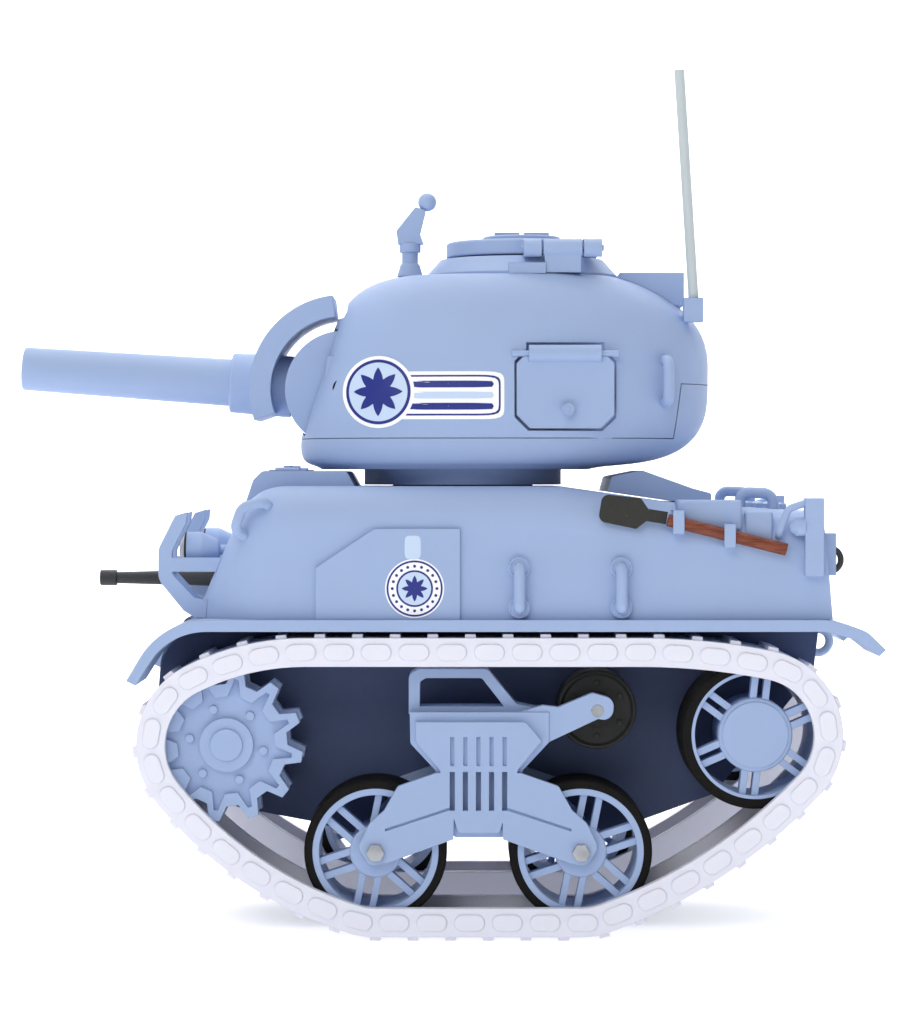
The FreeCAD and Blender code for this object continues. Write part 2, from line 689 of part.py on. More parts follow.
def lower_hull():
    """Open tub with a window for the axle gears, axle bores, a slot for the power switch, posts for the circuit board and a tow eye."""
    wall = dim("wall")
    body = plate("lower_hull_body", "XZ_Plane", TUB_SIDE, "2 * dims.hull_half", both_ways=True)
    inside = [(-36.5, 52.0), (-36.5, 24.2, 1.0), (-33.4, 21.2, 2.0), (-21.4, 18.9), (-13.6, 16.7, 4.5),
              (26.6, 16.7, 4.5), (44.4, 23.1, 2.5), (60.3, 42.7, 2.5), (61.1, 49.6), (61.1, 52.0)]
    hollow = sketch_on(body, "XZ_Plane")
    draw(hollow, inside)
    pocket(body, hollow, "2 * (dims.hull_half - dims.wall)", both_ways=True)
    window = sketch_on(body, "XZ_Plane")
    draw(window, [(-39.0, 23.4), (-36.0, 23.4), (-36.0, 49.6), (-39.0, 49.6)])
    pocket(body, window, "2 * (dims.hull_half - dims.wall)", both_ways=True)
    bores = sketch_on(body, "XZ_Plane", "dims.hull_half")
    draw_circle(bores, "dims.axle_radius + dims.running_fit", dim("sprocket_x"), dim("sprocket_height"))
    pocket(body, bores, "2 * dims.hull_half")
    slot = sketch_on(body, "XY_Plane", "dims.floor_height + dims.wall")
    draw(slot, [(SWITCH_X - 1.3, -1.3), (SWITCH_X + 4.3, -1.3), (SWITCH_X + 4.3, 1.3), (SWITCH_X - 1.3, 1.3)])
    pocket(body, slot, "3")
    posts = sketch_on(body, "XY_Plane", "dims.floor_height + %s" % (wall / 2.0))
    for x, y in BOARD_POSTS:
        draw_circle(posts, 1.6, x, y)
    pad(body, posts, "%s - dims.floor_height - %s" % (BOARD_HEIGHT, wall / 2.0))
    holes = sketch_on(body, "XY_Plane", "%s" % BOARD_HEIGHT)
    for x, y in BOARD_POSTS:
        draw_circle(holes, 0.8, x, y)
    pocket(body, holes, "5")
    eye = doc.addObject("Part::Torus", "hitch_eye")
    eye.Radius1 = 2.0
    eye.Radius2 = 0.7
    eye.Placement = FreeCAD.Placement(V(64.0, 0, 46.4), FreeCAD.Rotation(V(1, 0, 0), 90))
    trimmed_eye = cut("hitch_trimmed", eye, block("hitch_limit", (50, -5, 40), (62.2, 5, 50)))
    keep(fuse("lower_hull_whole", [body, trimmed_eye]), "lower_hull")


def transmission_cover():
    """Hollow rounded nose of the lower hull with its two bolted flanges."""
    nose = [(-38.0, 50.9), (-42.4, 50.9, 2.0), (-46.4, 44.0, 5.0), (-47.2, 34.0, 9.0), (-44.0, 25.0, 6.0),
            (-38.0, 22.6)]
    body = plate("transmission_body", "XZ_Plane", nose, "2 * dims.hull_half - 1", both_ways=True)
    rim = [(-38.0, 50.9), (-42.8, 50.9, 2.0), (-47.2, 44.4, 5.4), (-48.0, 34.0, 9.4), (-44.6, 24.4, 6.4),
           (-38.0, 21.9)]
    for distance in ("4.2", "-5.6"):
        flange = sketch_on(body, "XZ_Plane", distance)
        draw(flange, rim)
        pad(body, flange, "1.4")
    room = [(-37.5, 49.4), (-42.0, 49.4), (-44.9, 43.6, 4.0), (-45.7, 34.0, 8.0), (-42.8, 25.9, 5.0), (-37.5, 23.7)]
    hollow = sketch_on(body, "XZ_Plane")
    draw(hollow, room)
    pocket(body, hollow, "2 * dims.hull_half - 4", both_ways=True)
    keep(body, "transmission_cover")


def upper_hull():
    """Cast upper hull with rounded corners, driver hoods, side armour and the turret's hole."""
    half, deck, foot = dim("upper_half"), dim("deck_height"), dim("deck_line")
    side = [(-40.2, foot), (-30.6, deck, 8.0), (19.6, deck), (37.6, 70.2), (61.6, 68.6), (63.0, foot)]
    profile = plate("upper_side", "XZ_Plane", side, "2 * dims.upper_half", both_ways=True)
    cheek = dim("cheek")
    seen_from_above = [(-41.0, -half, cheek), (-41.0, half, cheek), (64.0, half), (64.0, -half)]
    plan = plate("upper_plan", "XY_Plane", seen_from_above, "30", "dims.deck_line - 1")
    cast = common("upper_cast", profile, plan)
    doc.recompute()
    rims = []
    for number, edge in enumerate(cast.Shape.Edges, start=1):
        box = edge.BoundBox
        on_one_side = box.YMin > half / 2.0 or box.YMax < -half / 2.0
        upright = box.XLength < 0.1
        at_foot = box.ZMax < foot + 0.1
        if on_one_side and not upright and not at_foot and box.XMax < 61.7:
            rims.append((number, dim("shoulder"), dim("shoulder")))
    softened = doc.addObject("Part::Fillet", "upper_softened")
    softened.Base = cast
    softened.Edges = rims
    doc.recompute()
    if softened.Shape.isNull() or not softened.Shape.isValid():
        raise RuntimeError("the shoulder can't be rounded")
    hollow = plate("upper_hollow", "XZ_Plane", [
        (-37.4, 50.0), (-37.4, 53.0), (-30.2, 64.8), (-27.6, deck - 2.2), (19.6, deck - 2.2), (37.6, 68.0),
        (59.4, 66.5), (60.6, 53.0), (60.6, 50.0)], "2 * (dims.upper_half - 6)", both_ways=True)
    hole = rod("deck_hole", "Z", "dims.spigot_radius + 0.3", "10", "dims.turret_x", "0", "dims.deck_height - 5")
    hoods = []
    for name, middle in (("left_hood", -13.0), ("right_hood", 13.0)):
        hood = plate(name, "XZ_Plane", [
            (-33.5, 66.0), (-30.9, 73.8, 1.5), (-29.4, 75.3, 1.2), (-15.6, 75.3, 1.0), (-13.8, 72.0),
            (-13.8, 66.0)], "11", "%s" % (-middle - 5.5))
        hoods.append(hood)
    armour = plate("left_armour", "XZ_Plane", [
        (-20.1, foot), (-20.1, 59.7), (-10.7, 66.0), (3.1, 66.0), (3.1, foot)], "1.7", "dims.upper_half - 1")
    clips = []
    for number, (x, z) in enumerate(((37.2, 65.2), (45.4, 63.0))):
        clip = block("shovel_clip_%d" % number, (x, -32.4, z), (x + 1.8, -27.0, z + 3.8))
        clips.append(cut("shovel_clip_bored_%d" % number, clip, doc.getObject("handle_rod")))
    solid = fuse("upper_solid", [softened, armour, mirrored("right_armour", armour)] + hoods + clips)
    hollowed = cut("upper_hollowed", solid, fuse("upper_voids", [hollow, hole]))
    wells = []
    for number, (x, y, z) in enumerate(hatch_places()):
        wells.append(block("hatch_well_%d" % number, (x - 0.25, y - 0.25, z - 1.4),
                           (x + HATCH[0] + 0.25, y + HATCH[1] + 0.25, z + 5.0)))
    ball_seat = rod("bow_gun_seat", "Y", BOW_BALL + 0.3, 2 * BOW_BALL + 0.6, BOW_GUN[0], BOW_GUN[1] + BOW_BALL + 0.3,
                    BOW_GUN[2])
    keep(cut("upper_hull_cut", hollowed, fuse("upper_pockets", wells + [ball_seat])), "upper_hull")


HATCH = (6.0, 7.0)
BOW_GUN = (-37.4, 11.0, 56.8)
BOW_BALL = 3.0


def hatch_places():
    """Low corners of the driver's and the co-driver's hatch."""
    top = 75.3
    return [(-30.0 + 1.6, -16.5, top), (-30.0 + 1.6, 9.5, top)]


def driver_hatches():
    """Small flap in each driver's hood, hinged along its outer edge."""
    for side, (x, y, z) in zip(("left", "right"), hatch_places()):
        low = z - 1.2
        flap = block(side + "_flap", (x, y, low), (x + HATCH[0], y + HATCH[1], z + 0.2))
        outer = y + 0.5 if side == "left" else y + HATCH[1] - 0.5
        hinge = rod(side + "_flap_hinge", "X", 0.5, HATCH[0] - 2.0, x + 1.0, outer, z + 0.1)
        knob = rod(side + "_flap_knob", "Z", 0.8, 0.9, x + HATCH[0] / 2.0, y + HATCH[1] / 2.0, z)
        keep(fuse(side + "_flap_whole", [flap, hinge, knob]), side + "_driver_hatch")


def fenders():
    """Bent plate over each track, with a curved mudguard in front and a flap behind."""
    outline = [(-50.4, 41.6), (-44.6, 51.4, 12.5), (62.4, 51.4, 8.0), (68.2, 49.6, 4.0), (71.3, 46.6),
               (70.2, 45.6), (67.2, 48.0, 3.0), (61.6, 49.5, 6.0), (-43.5, 49.5, 10.6), (-48.9, 40.9)]
    body = plate("left_fender_body", "XZ_Plane", outline, "dims.fender_out - dims.hull_half", "dims.hull_half")
    keep_pair("fender", body)


def bent_bar(name, points, radius, bend):
    """Round bar along straight runs joined by arcs; the points are (x, y, z)."""
    nodes = [V(*point) for point in points]
    edges = []
    start = nodes[0]
    for before, here, after in zip(nodes, nodes[1:], nodes[2:]):
        back, onward = (before - here), (after - here)
        limit = 0.45 * min(back.Length, onward.Length)
        back.normalize()
        onward.normalize()
        half = back.getAngle(onward) / 2.0
        reach = min(bend / math.tan(half), limit)
        size = reach * math.tan(half)
        middle = back + onward
        middle.normalize()
        first, last = here + back * reach, here + onward * reach
        edges.append(Part.makeLine(start, first))
        edges.append(Part.Arc(first, here + middle * (size / math.sin(half) - size), last).toShape())
        start = last
    edges.append(Part.makeLine(start, nodes[-1]))
    circle = Part.Wire([Part.makeCircle(radius, nodes[0], nodes[1] - nodes[0])])
    bar = Part.Wire(edges).makePipeShell([circle], True, True)
    obj = doc.addObject("Part::Feature", name)
    obj.Shape = bar
    return obj


def grab_handles():
    """Two U-shaped rails on each side, with a boss at each foot."""
    side, reach, radius = dim("upper_half"), 3.0, 0.95
    parts = []
    for number, x in enumerate((12.6, 29.0)):
        low, high = 53.3, 59.7
        rail = bent_bar("grab_%d" % number, [
            (x, -side, low), (x, -side - reach + 1.2, low), (x, -side - reach + 1.2, high), (x, -side, high)],
            radius, 1.6)
        bosses = [rod("grab_boss_%d_%d" % (number, end), "Y", 1.7, 0.8, x, -side, z)
                  for end, z in enumerate((low, high))]
        parts.append(fuse("grab_whole_%d" % number, [rail] + bosses))
    keep(group("grab_handles_all", parts + [mirrored(part.Name + "_right", part) for part in parts]),
         "grab_handles")


def lifting_rings():
    """Lifting eyes on the glacis and on the engine deck."""
    rings = []
    glacis = [(-31.4, -28.0, 64.6), (-33.2, -30.2, 65.8), (-31.9, -30.5, 69.4), (-28.4, -29.8, 70.4),
              (-27.0, -26.4, 68.4)]
    rings.append(bent_bar("glacis_eye", glacis, 0.85, 1.8))
    deck = [(49.0, -20.0, 68.6), (49.0, -20.0, 71.8), (54.4, -20.0, 71.6), (54.4, -20.0, 68.0)]
    rings.append(bent_bar("deck_eye", deck, 0.9, 1.7))
    parts = rings + [mirrored(ring.Name + "_right", ring) for ring in rings]
    keep(cut("lifting_rings_trimmed", group("lifting_rings_all", parts), doc.getObject("upper_softened")),
         "lifting_rings")


LAMP = (-41.6, -19.6, 62.4)


def headlamps():
    """Domed lamp on a stalk from the glacis, with a lens and a brush guard."""
    x, y, z = LAMP
    shell = turned("lamp_shell", "X_Axis", [(0, 0), (0, 2.9), (2.4, 2.9, 1.2), (5.2, 1.6, 1.0), (5.6, 0)])
    place(shell, str(x), str(y), str(z))
    stalk = rod("lamp_stalk", "X", 0.8, 3.0, x + 4.6, y, z)
    left = cut("lamp_trimmed", fuse("lamp_whole", [shell, stalk]), doc.getObject("upper_softened"))
    keep_both("headlamps", left)
    lens = turned("lamp_lens", "X_Axis", [(0, 0), (0, 2.6), (-0.4, 2.6), (-1.1, 1.4, 1.2), (-1.3, 0)])
    keep_both("headlamp_lenses", place(lens, str(x), str(y), str(z)))
    outer = [(-41.2, 68.6), (-43.2, 68.0), (-45.9, 62.6, 3.0), (-45.9, 57.6, 3.0), (-41.8, 52.6, 1.0),
             (-39.9, 51.4), (-37.6, 51.4), (-37.6, 54.2), (-40.0, 54.6, 1.0), (-43.7, 58.6, 1.5),
             (-43.7, 62.3, 1.5), (-41.4, 66.8)]
    frame = plate("guard_frame", "XZ_Plane", outer, "1.2", "23.4")
    cross = block("guard_bar", (-44.4, -24.6, 58.9), (-33.2, -23.4, 61.2))
    back = plate("guard_back", "XZ_Plane", outer, "1.2", "14.6")
    tie = block("guard_tie", (-45.2, -24.6, 58.2), (-43.9, -14.6, 59.6))
    cross_back = block("guard_bar_back", (-44.4, -15.8, 58.9), (-33.2, -14.6, 61.2))
    whole = fuse("guard_whole", [frame, back, cross, cross_back, tie])
    keep_both("headlamp_guards", cut("guard_trimmed", whole, doc.getObject("upper_softened")))


def engine_deck():
    """Raised hood behind the turret, stowage boxes and the tail lamps behind their guard plates."""
    hood = plate("engine_hood_body", "XZ_Plane", [
        (27.5, 71.9), (28.2, 74.4, 0.6), (33.2, 75.4, 0.8), (41.6, 72.4), (44.6, 71.6, 0.4), (44.6, 69.4)],
        "32", both_ways=True)
    keep(cut("engine_hood_trimmed", hood, doc.getObject("upper_softened")), "engine_hood")
    boxes = []
    places = (((38.0, -29.9, 65.6), (48.4, -23.0, 70.6)), ((49.0, -29.9, 63.4), (53.4, -24.0, 68.8)))
    for number, (low, high) in enumerate(places):
        box = block("stowage_%d" % number, low, high)
        soft = doc.addObject("Part::Fillet", "stowage_soft_%d" % number)
        soft.Base = box
        soft.Edges = [(edge, 0.5, 0.5) for edge in range(1, 13)]
        boxes.append(soft)
    neighbours = [doc.getObject(name) for name in ("upper_softened", "shovel_clip_0", "shovel_clip_1")]
    keep(cut_each("stowage_trimmed", group("stowage_all", boxes), neighbours), "stowage_boxes")
    side = -30.6
    bulb = turned("tail_bulb", "X_Axis", [(0, 0), (0, 1.5), (-1.4, 1.5, 0.3), (-2.6, 0.7, 0.5), (-2.6, 0)])
    place(bulb, "58.5", str(side), "66.3")
    guard = block("tail_guard", (58.4, side - 1.2, 58.4), (61.4, side + 1.4, 70.9))
    bar = bent_bar("tail_bar", [(58.8, side, 70.2), (55.8, side, 69.2), (54.3, side, 65.4), (54.3, side + 1.6, 64.4)],
                   0.6, 1.5)
    hook = block("rear_hook", (61.0, -27.0, 58.4), (63.9, -24.6, 65.2))
    lamps = fuse("tail_whole", [bulb, guard, bar])
    left = cut("tail_trimmed", group("tail_left", [lamps, hook]), doc.getObject("upper_softened"))
    keep_both("tail_lamps", left)


def shovel():
    """Shovel lying along the left side of the deck: pressed blade and round handle."""
    tilt = FreeCAD.Rotation(V(0, 1, 0), 9)
    blade = plate("blade_body", "XZ_Plane", [
        (0.0, 2.2, 1.2), (0.0, -2.2, 1.2), (6.2, -2.5, 0.6), (7.6, -1.0, 0.4), (10.8, -1.0), (10.8, 1.0),
        (7.6, 1.0, 0.4), (6.2, 2.5, 0.6)], "0.8", "0")
    blade.Placement = FreeCAD.Placement(V(25.6, -30.4, 69.4), tilt)
    keep(blade, "shovel_blade")
    handle = doc.addObject("Part::Cylinder", "handle_rod")
    handle.Radius = 1.0
    handle.Height = 19.6
    handle.Placement = FreeCAD.Placement(V(36.4, -31.2, 67.4), FreeCAD.Rotation(V(0, 1, 0), 104))
    keep(handle, "shovel_handle")


# ---------------------------------------------------------------- drive train and inner pieces


def gear_outline(teeth, start):
    """Straight-sided stand-in for the teeth of a module gear."""
    module = dim("gear_module")
    pitch = module * teeth / 2.0
    return toothed(teeth, pitch - 1.2 * module, pitch + 0.9 * module, 0.62, 0.24, start)


def drive_train():
    """One motor, pinion and geared axle for each track, carried by a frame inside the tub."""
    axle, motors = drive_centres()
    gear_teeth, pinion_teeth = dim("gear_teeth"), dim("pinion_teeth")
    for side in ("left", "right"):
        turn = MOTOR_TURN if side == "left" else -MOTOR_TURN
        near = 8.6
        gear = new_body(side + "_axle_body")
        plane = "%s" % near if side == "left" else "%s" % (-near - 2.6)
        teeth = sketch_on(gear, "XZ_Plane", plane)
        draw(teeth, gear_outline(gear_teeth, turn))
        pad(gear, teeth, "2.6")
        start = "3.6" if side == "left" else "-dims.wheel_out"
        shaft = sketch_on(gear, "XZ_Plane", start)
        draw_circle(shaft, "dims.axle_radius")
        pad(gear, shaft, "dims.wheel_out - 3.6")
        keep(place(gear, "dims.sprocket_x", "0", "dims.sprocket_height"), side + "_drive_axle")
        pinion = new_body(side + "_pinion_body")
        teeth = sketch_on(pinion, "XZ_Plane", plane)
        draw(teeth, gear_outline(pinion_teeth, turn + 180.0 + 180.0 / pinion_teeth))
        draw_circle(teeth, "0.5")
        pad(pinion, teeth, "2.6")
        centre = motors[side]
        keep(place(pinion, str(centre[0]), "0", str(centre[1])), side + "_motor_pinion")
    bodies = []
    for side, can_end, shaft_end in (("left", 4.0, -8.0), ("right", 8.0, 11.4)):
        x, z = motors[side]
        can = rod(side + "_motor_can", "Y", "dims.motor_radius", "dims.motor_length", x, can_end, z)
        shaft = rod(side + "_motor_shaft", "Y", 0.5, 3.4, x, shaft_end, z)
        bodies.append(fuse(side + "_motor_whole", [can, shaft]))
    keep(group("drive_motors_all", bodies), "drive_motors")
    frame = plate("frame_block", "XZ_Plane", [
        (-36.2, 47.0), (-36.2, 25.2), (-32.8, 22.0), (-21.2, 19.0), (-17.0, 17.8), (-17.0, 47.0)], "10",
        both_ways=True)
    openings = [rod("frame_bore_" + side, "Y", "dims.motor_radius", 20, motors[side][0], 10, motors[side][1])
                for side in ("left", "right")]
    openings.append(rod("frame_axle_bore", "Y", "dims.axle_radius + dims.running_fit", 20, "dims.sprocket_x", 10,
                        "dims.sprocket_height"))
    keep(cut_each("frame_bored", frame, openings), "gearbox_frame")


def electronics():
    """Battery, circuit board on its posts, screws and the sliding power switch."""
    battery = block("battery_box", *BATTERY)
    soft = doc.addObject("Part::Fillet", "battery_soft")
    soft.Base = battery
    soft.Edges = [(edge, 1.0, 1.0) for edge in range(1, 13)]
    keep(soft, "battery_pack")
    board = block("board_plate", (-1.0, -11.5, BOARD_HEIGHT), (29.0, 11.5, BOARD_HEIGHT + 1.2))
    chip = block("board_chip", (7.0, -4.0, BOARD_HEIGHT + 1.0), (15.0, 4.0, BOARD_HEIGHT + 2.6))
    socket = block("board_socket", (18.0, 0.0, BOARD_HEIGHT + 1.0), (23.0, 6.0, BOARD_HEIGHT + 5.0))
    holes = [rod("board_hole_%d" % i, "Z", 0.8, 3, x, y, BOARD_HEIGHT - 1) for i, (x, y) in enumerate(BOARD_POSTS)]
    keep(cut("board_cut", fuse("board_solid", [board, chip, socket]), fuse("board_holes", holes)), "circuit_board")
    screws = []
    for number, (x, y) in enumerate(BOARD_POSTS):
        shank = rod("screw_shank_%d" % number, "Z", 0.8, 5.2, x, y, BOARD_HEIGHT - 4.0)
        head = rod("screw_head_%d" % number, "Z", 1.5, 1.0, x, y, BOARD_HEIGHT + 1.2)
        screws.append(fuse("screw_%d" % number, [shank, head]))
    keep(group("board_screws_all", screws), "board_screws")
    slider = block("switch_slider", (SWITCH_X - 1.1, -2.4, 16.9), (SWITCH_X + 1.1, 2.4, 18.4))
    knob = block("switch_knob", (SWITCH_X - 1.0, -1.1, 14.4), (SWITCH_X + 1.0, 1.1, 17.2))
    keep(fuse("switch_whole", [slider, knob]), "power_switch")


def bow_gun():
    """Machine gun in a ball on the right of the bow."""
    ball = doc.addObject("Part::Sphere", "bow_ball")
    ball.Radius = BOW_BALL
    ball.Placement.Base = V(*BOW_GUN)
    profile = [(0, 0), (0, 1.45), (16.6, 1.0), (16.6, 1.35, 0.2), (19.5, 1.35, 0.2), (19.5, 0)]
    barrel = turned("bow_barrel", "X_Axis", [(-point[0],) + point[1:] for point in profile])
    place(barrel, str(BOW_GUN[0] - 2.4), str(BOW_GUN[1]), str(BOW_GUN[2]))
    keep(fuse("bow_gun_whole", [ball, barrel]), "bow_gun")


# ---------------------------------------------------------------- turret

# height, front X, rear X and half width of the cast turret's sections
TURRET_SECTIONS = [(75.6, -20.4, 25.0, 19.6), (76.6, -22.6, 33.0, 21.6), (78.6, -23.8, 40.0, 23.0),
                   (81.6, -23.6, 43.4, 24.0), (91.0, -20.7, 45.2, 24.2), (98.0, -18.6, 44.2, 23.0),
                   (102.6, -16.6, 40.6, 21.4), (105.8, -13.4, 35.6, 19.4), (107.9, -7.4, 29.4, 16.6)]


def oval(front, rear, half):
    """Closed smooth curve: a rounded rectangle from the front to the rear X, the given half width."""
    fullness, spots = 2.7, 24
    middle, reach = (front + rear) / 2.0, (rear - front) / 2.0
    points = []
    for number in range(spots):
        angle = 2.0 * math.pi * number / spots
        c, s = math.cos(angle), math.sin(angle)
        points.append(V(middle + reach * math.copysign(abs(c) ** (2.0 / fullness), c),
                        half * math.copysign(abs(s) ** (2.0 / fullness), s), 0))
    curve = Part.BSplineCurve()
    curve.interpolate(points, PeriodicFlag=True)
    return curve


def cast_form(name, sections):
    """Smooth cast shape lofted through level sections."""
    body = new_body(name)
    loops = []
    for height, front, rear, half in sections:
        loops.append(sketch_on(body, "XY_Plane", "%s" % height))
        loops[-1].addGeometry(oval(front, rear, half), False)
    loft = body.newObject("PartDesign::AdditiveLoft", name + "_loft")
    loft.Profile = loops[0]
    loft.Sections = [(loop, [""]) for loop in loops[1:]]
    return body


def inner_sections():
    """Sections of the turret's hollow: those of the cast form moved in by the wall."""
    wall = dim("turret_wall")
    hollow = [(height, front + wall, rear - wall, half - wall)
              for height, front, rear, half in TURRET_SECTIONS if 78.0 < height < 105.0]
    return [(77.4, -21.6, 35.0, 20.6)] + hollow + [(106.0, -11.0, 32.6, 16.2)]


PORT = (12.3, 28.2, 82.2, 95.0)
PORT_FLOOR = 22.3
PORT_HINGE = (-23.9, 94.4)


def octagon(left, right, low, high, corner):
    return [(left + corner, low), (right - corner, low), (right, low + corner), (right, high - corner),
            (right - corner, high), (left + corner, high), (left, high - corner), (left, low + corner)]


# angles of the gun shield's upper and lower edge about the gun's axis, gun level
SHIELD_ARC = (100.5, 203.0)


def shield_path():
    """Room that the gun shield's upper edge sweeps as the gun rises."""
    centre = (dim("gun_x"), dim("gun_height"))
    edge = SHIELD_ARC[0] - dim("gun_rise")
    angles = [edge + 3.0, edge, edge - 4.7, edge - 9.4]
    outer = [polar(dim("shield_out") + 0.3, angle, centre) for angle in angles]
    inner = [polar(dim("shield_in") - 0.3, angle, centre) for angle in reversed(angles)]
    return plate("shield_path", "XZ_Plane", outer + inner, "2 * dims.shield_half + 0.6", both_ways=True)


def turret():
    """Cast shell over a base with the collar, split along a stepped line, with the gun's opening."""
    outer = cast_form("turret_outer", TURRET_SECTIONS)
    inner = cast_form("turret_inner", inner_sections())
    split = dim("split_height")
    below = [(-40.0, 70.0), (-40.0, split), (38.4, split), (39.6, 89.6), (60.0, 89.6), (60.0, 70.0)]
    lower_zone = plate("lower_zone", "XZ_Plane", below, "70", both_ways=True)
    above = [(-41.0, 70.0), (-41.0, split + 0.1), (38.3, split + 0.1), (39.5, 89.7), (61.0, 89.7), (61.0, 70.0)]
    shell_zone = plate("shell_zone", "XZ_Plane", above, "72", both_ways=True)
    gun_room = rod("gun_room", "Y", "dims.rotor_radius + 0.35", "2 * dims.rotor_half + 0.8", "dims.gun_x",
                   "dims.rotor_half + 0.4", "dims.gun_height")
    cheeks = []
    for name, low in (("left_cheek", -11.2), ("right_cheek", 9.1)):
        cheeks.append(plate(name, "XZ_Plane", [(-20.2, 84.0), (-19.0, 94.5), (-12.0, 94.5), (-12.0, 84.0)], "2.1",
                            "%s" % (-low - 2.1)))
    trunnions = rod("trunnion_room", "Y", 1.55, 30, "dims.gun_x", 15, "dims.gun_height")
    base_form = common("base_form", outer, lower_zone)
    base_shell = cut("base_shell", base_form, inner)
    collar = rod("turret_collar", "Z", "dims.collar_radius", "dims.turret_floor - dims.deck_height - dims.collar_gap + 0.3",
                 "dims.turret_x", "0", "dims.deck_height + dims.collar_gap")
    spigot = rod("turret_spigot", "Z", "dims.spigot_radius", 4.5, "dims.turret_x", "0", "dims.deck_height - 3.9")
    flange = rod("turret_flange", "Z", "dims.spigot_radius + 1.6", 1.4, "dims.turret_x", "0", 69.0)
    wiring = rod("turret_wiring", "Z", 8.5, 14, "dims.turret_x", "0", 66)
    base = cut("base_holes", cut("base_bored", fuse("base_solid", [base_shell, collar, spigot, flange]), wiring),
               gun_room)
    keep(base, "turret_base")
    left, right, low, high = PORT
    recess = plate("port_recess", "XZ_Plane", octagon(left - 0.35, right + 0.35, low - 0.35, high + 0.35, 2.2), "10",
                   "%s" % PORT_FLOOR)
    hinge_room = block("port_hinge_room", (left + 1.6, -34.0, 92.6), (right - 1.6, -PORT_FLOOR, 96.2))
    backing = plate("port_backing", "XZ_Plane", octagon(left - 2.0, right + 2.0, low - 2.0, high + 2.6, 2.6), "1.7",
                    "%s" % (PORT_FLOOR - 1.5))
    pin = rod("port_pin", "X", 0.5, right - left + 1.6, left - 0.8, PORT_HINGE[0], PORT_HINGE[1])
    form = cut("shell_hollow", cut("shell_above", outer, shell_zone), inner)
    solid = fuse("shell_solid", [form, common("backing_trimmed", backing, outer)] + cheeks)
    opened = cut_each("shell_opened", solid, [gun_room, trunnions, recess, hinge_room, shield_path()])
    loops = []
    for side in (-1, 1):
        root, tip = 17.8 * side, 21.8 * side
        loops.append(bent_bar("side_loop_%d" % (side + 1), [
            (36.4, root, 93.4), (37.2, tip, 93.4), (37.2, tip, 86.6), (36.4, root, 86.6)], 0.9, 1.5))
    bustle = block("bustle_box", (29.9, -9.0, 103.0), (40.6, 9.0, 108.5))
    lug = block("antenna_foot", (40.2, -14.6, 100.0), (43.4, -11.4, 104.0))
    keep(fuse("turret_shell_whole", [opened, pin]), "turret_shell")
    fittings = [cut(part.Name + "_trimmed", part, outer) for part in loops + [bustle, lug]]
    keep(group("turret_fittings_all", fittings), "turret_fittings")
    aerial = doc.addObject("Part::Cylinder", "antenna_rod")
    aerial.Radius = 0.85
    aerial.Height = 37.9
    aerial.Placement = FreeCAD.Placement(V(41.9, -13.0, 104.06), FreeCAD.Rotation(V(0, 1, 0), -3.6))
    keep(aerial, "antenna")


def gun():
    """Rotor with trunnions, curved shield and barrel; drawn level and raised to the rest angle."""
    rise = FreeCAD.Rotation(V(0, 1, 0), dim("gun_rise"))
    pivot = V(dim("gun_x"), 0, dim("gun_height"))

    def aimed(obj):
        obj.Placement = FreeCAD.Placement(pivot, rise)
        return obj

    drum = rod("rotor_drum", "Y", "dims.rotor_radius", "2 * dims.rotor_half", 0, "dims.rotor_half", 0)
    pins = rod("rotor_trunnions", "Y", 1.5, 22.0, 0, 11.0, 0)
    bore = turned("rotor_bore", "X_Axis", [(-14.0, 0), (-14.0, 4.0), (-4.0, 4.0), (-4.0, 0)])
    keep(aimed(cut("rotor_whole", fuse("rotor_solid", [drum, pins]), bore)), "gun_rotor")
    begin, end = SHIELD_ARC
    inner_r, outer_r = dim("shield_in"), dim("shield_out")
    ring = new_body("shield_ring")
    arc = sketch_on(ring, "XZ_Plane")
    middle = (begin + end) / 2.0
    corners = {(r, a): V(*polar(r, a), 0) for r in (inner_r, outer_r) for a in (begin, middle, end)}
    arc.addGeometry(Part.Arc(corners[inner_r, begin], corners[inner_r, middle], corners[inner_r, end]), False)
    arc.addGeometry(Part.LineSegment(corners[inner_r, end], corners[outer_r, end]), False)
    arc.addGeometry(Part.Arc(corners[outer_r, end], corners[outer_r, middle], corners[outer_r, begin]), False)
    arc.addGeometry(Part.LineSegment(corners[outer_r, begin], corners[inner_r, begin]), False)
    pad(ring, arc, "2 * dims.shield_half", both_ways=True)
    collar = turned("shield_collar", "X_Axis", [
        (-9.0, 0), (-9.0, 5.2), (-15.0, 5.2), (-17.6, 5.07, 0.6), (-19.4, 5.07, 0.4), (-19.4, 0)])
    passage = turned("shield_passage", "X_Axis", [(-25.0, 0), (-25.0, 4.0), (-3.0, 4.0), (-3.0, 0)])
    drum_room = rod("shield_room", "Y", "dims.rotor_radius", 30, 0, 15, 0)
    shield = cut("shield_whole", fuse("shield_solid", [ring, collar]), fuse("shield_rooms", [passage, drum_room]))
    keep(aimed(shield), "gun_shield")
    muzzle = dim("muzzle")
    barrel = turned("barrel_body", "X_Axis", [
        (-4.0, 0), (-4.0, 4.0), (-20.0, 4.0), (-muzzle, 3.64, 0.4), (-muzzle, 2.5), (-muzzle + 4.0, 2.5),
        (-muzzle + 4.0, 0)])
    keep(aimed(barrel), "gun_barrel")


HATCH_AXIS = (-15.2, 112.2)


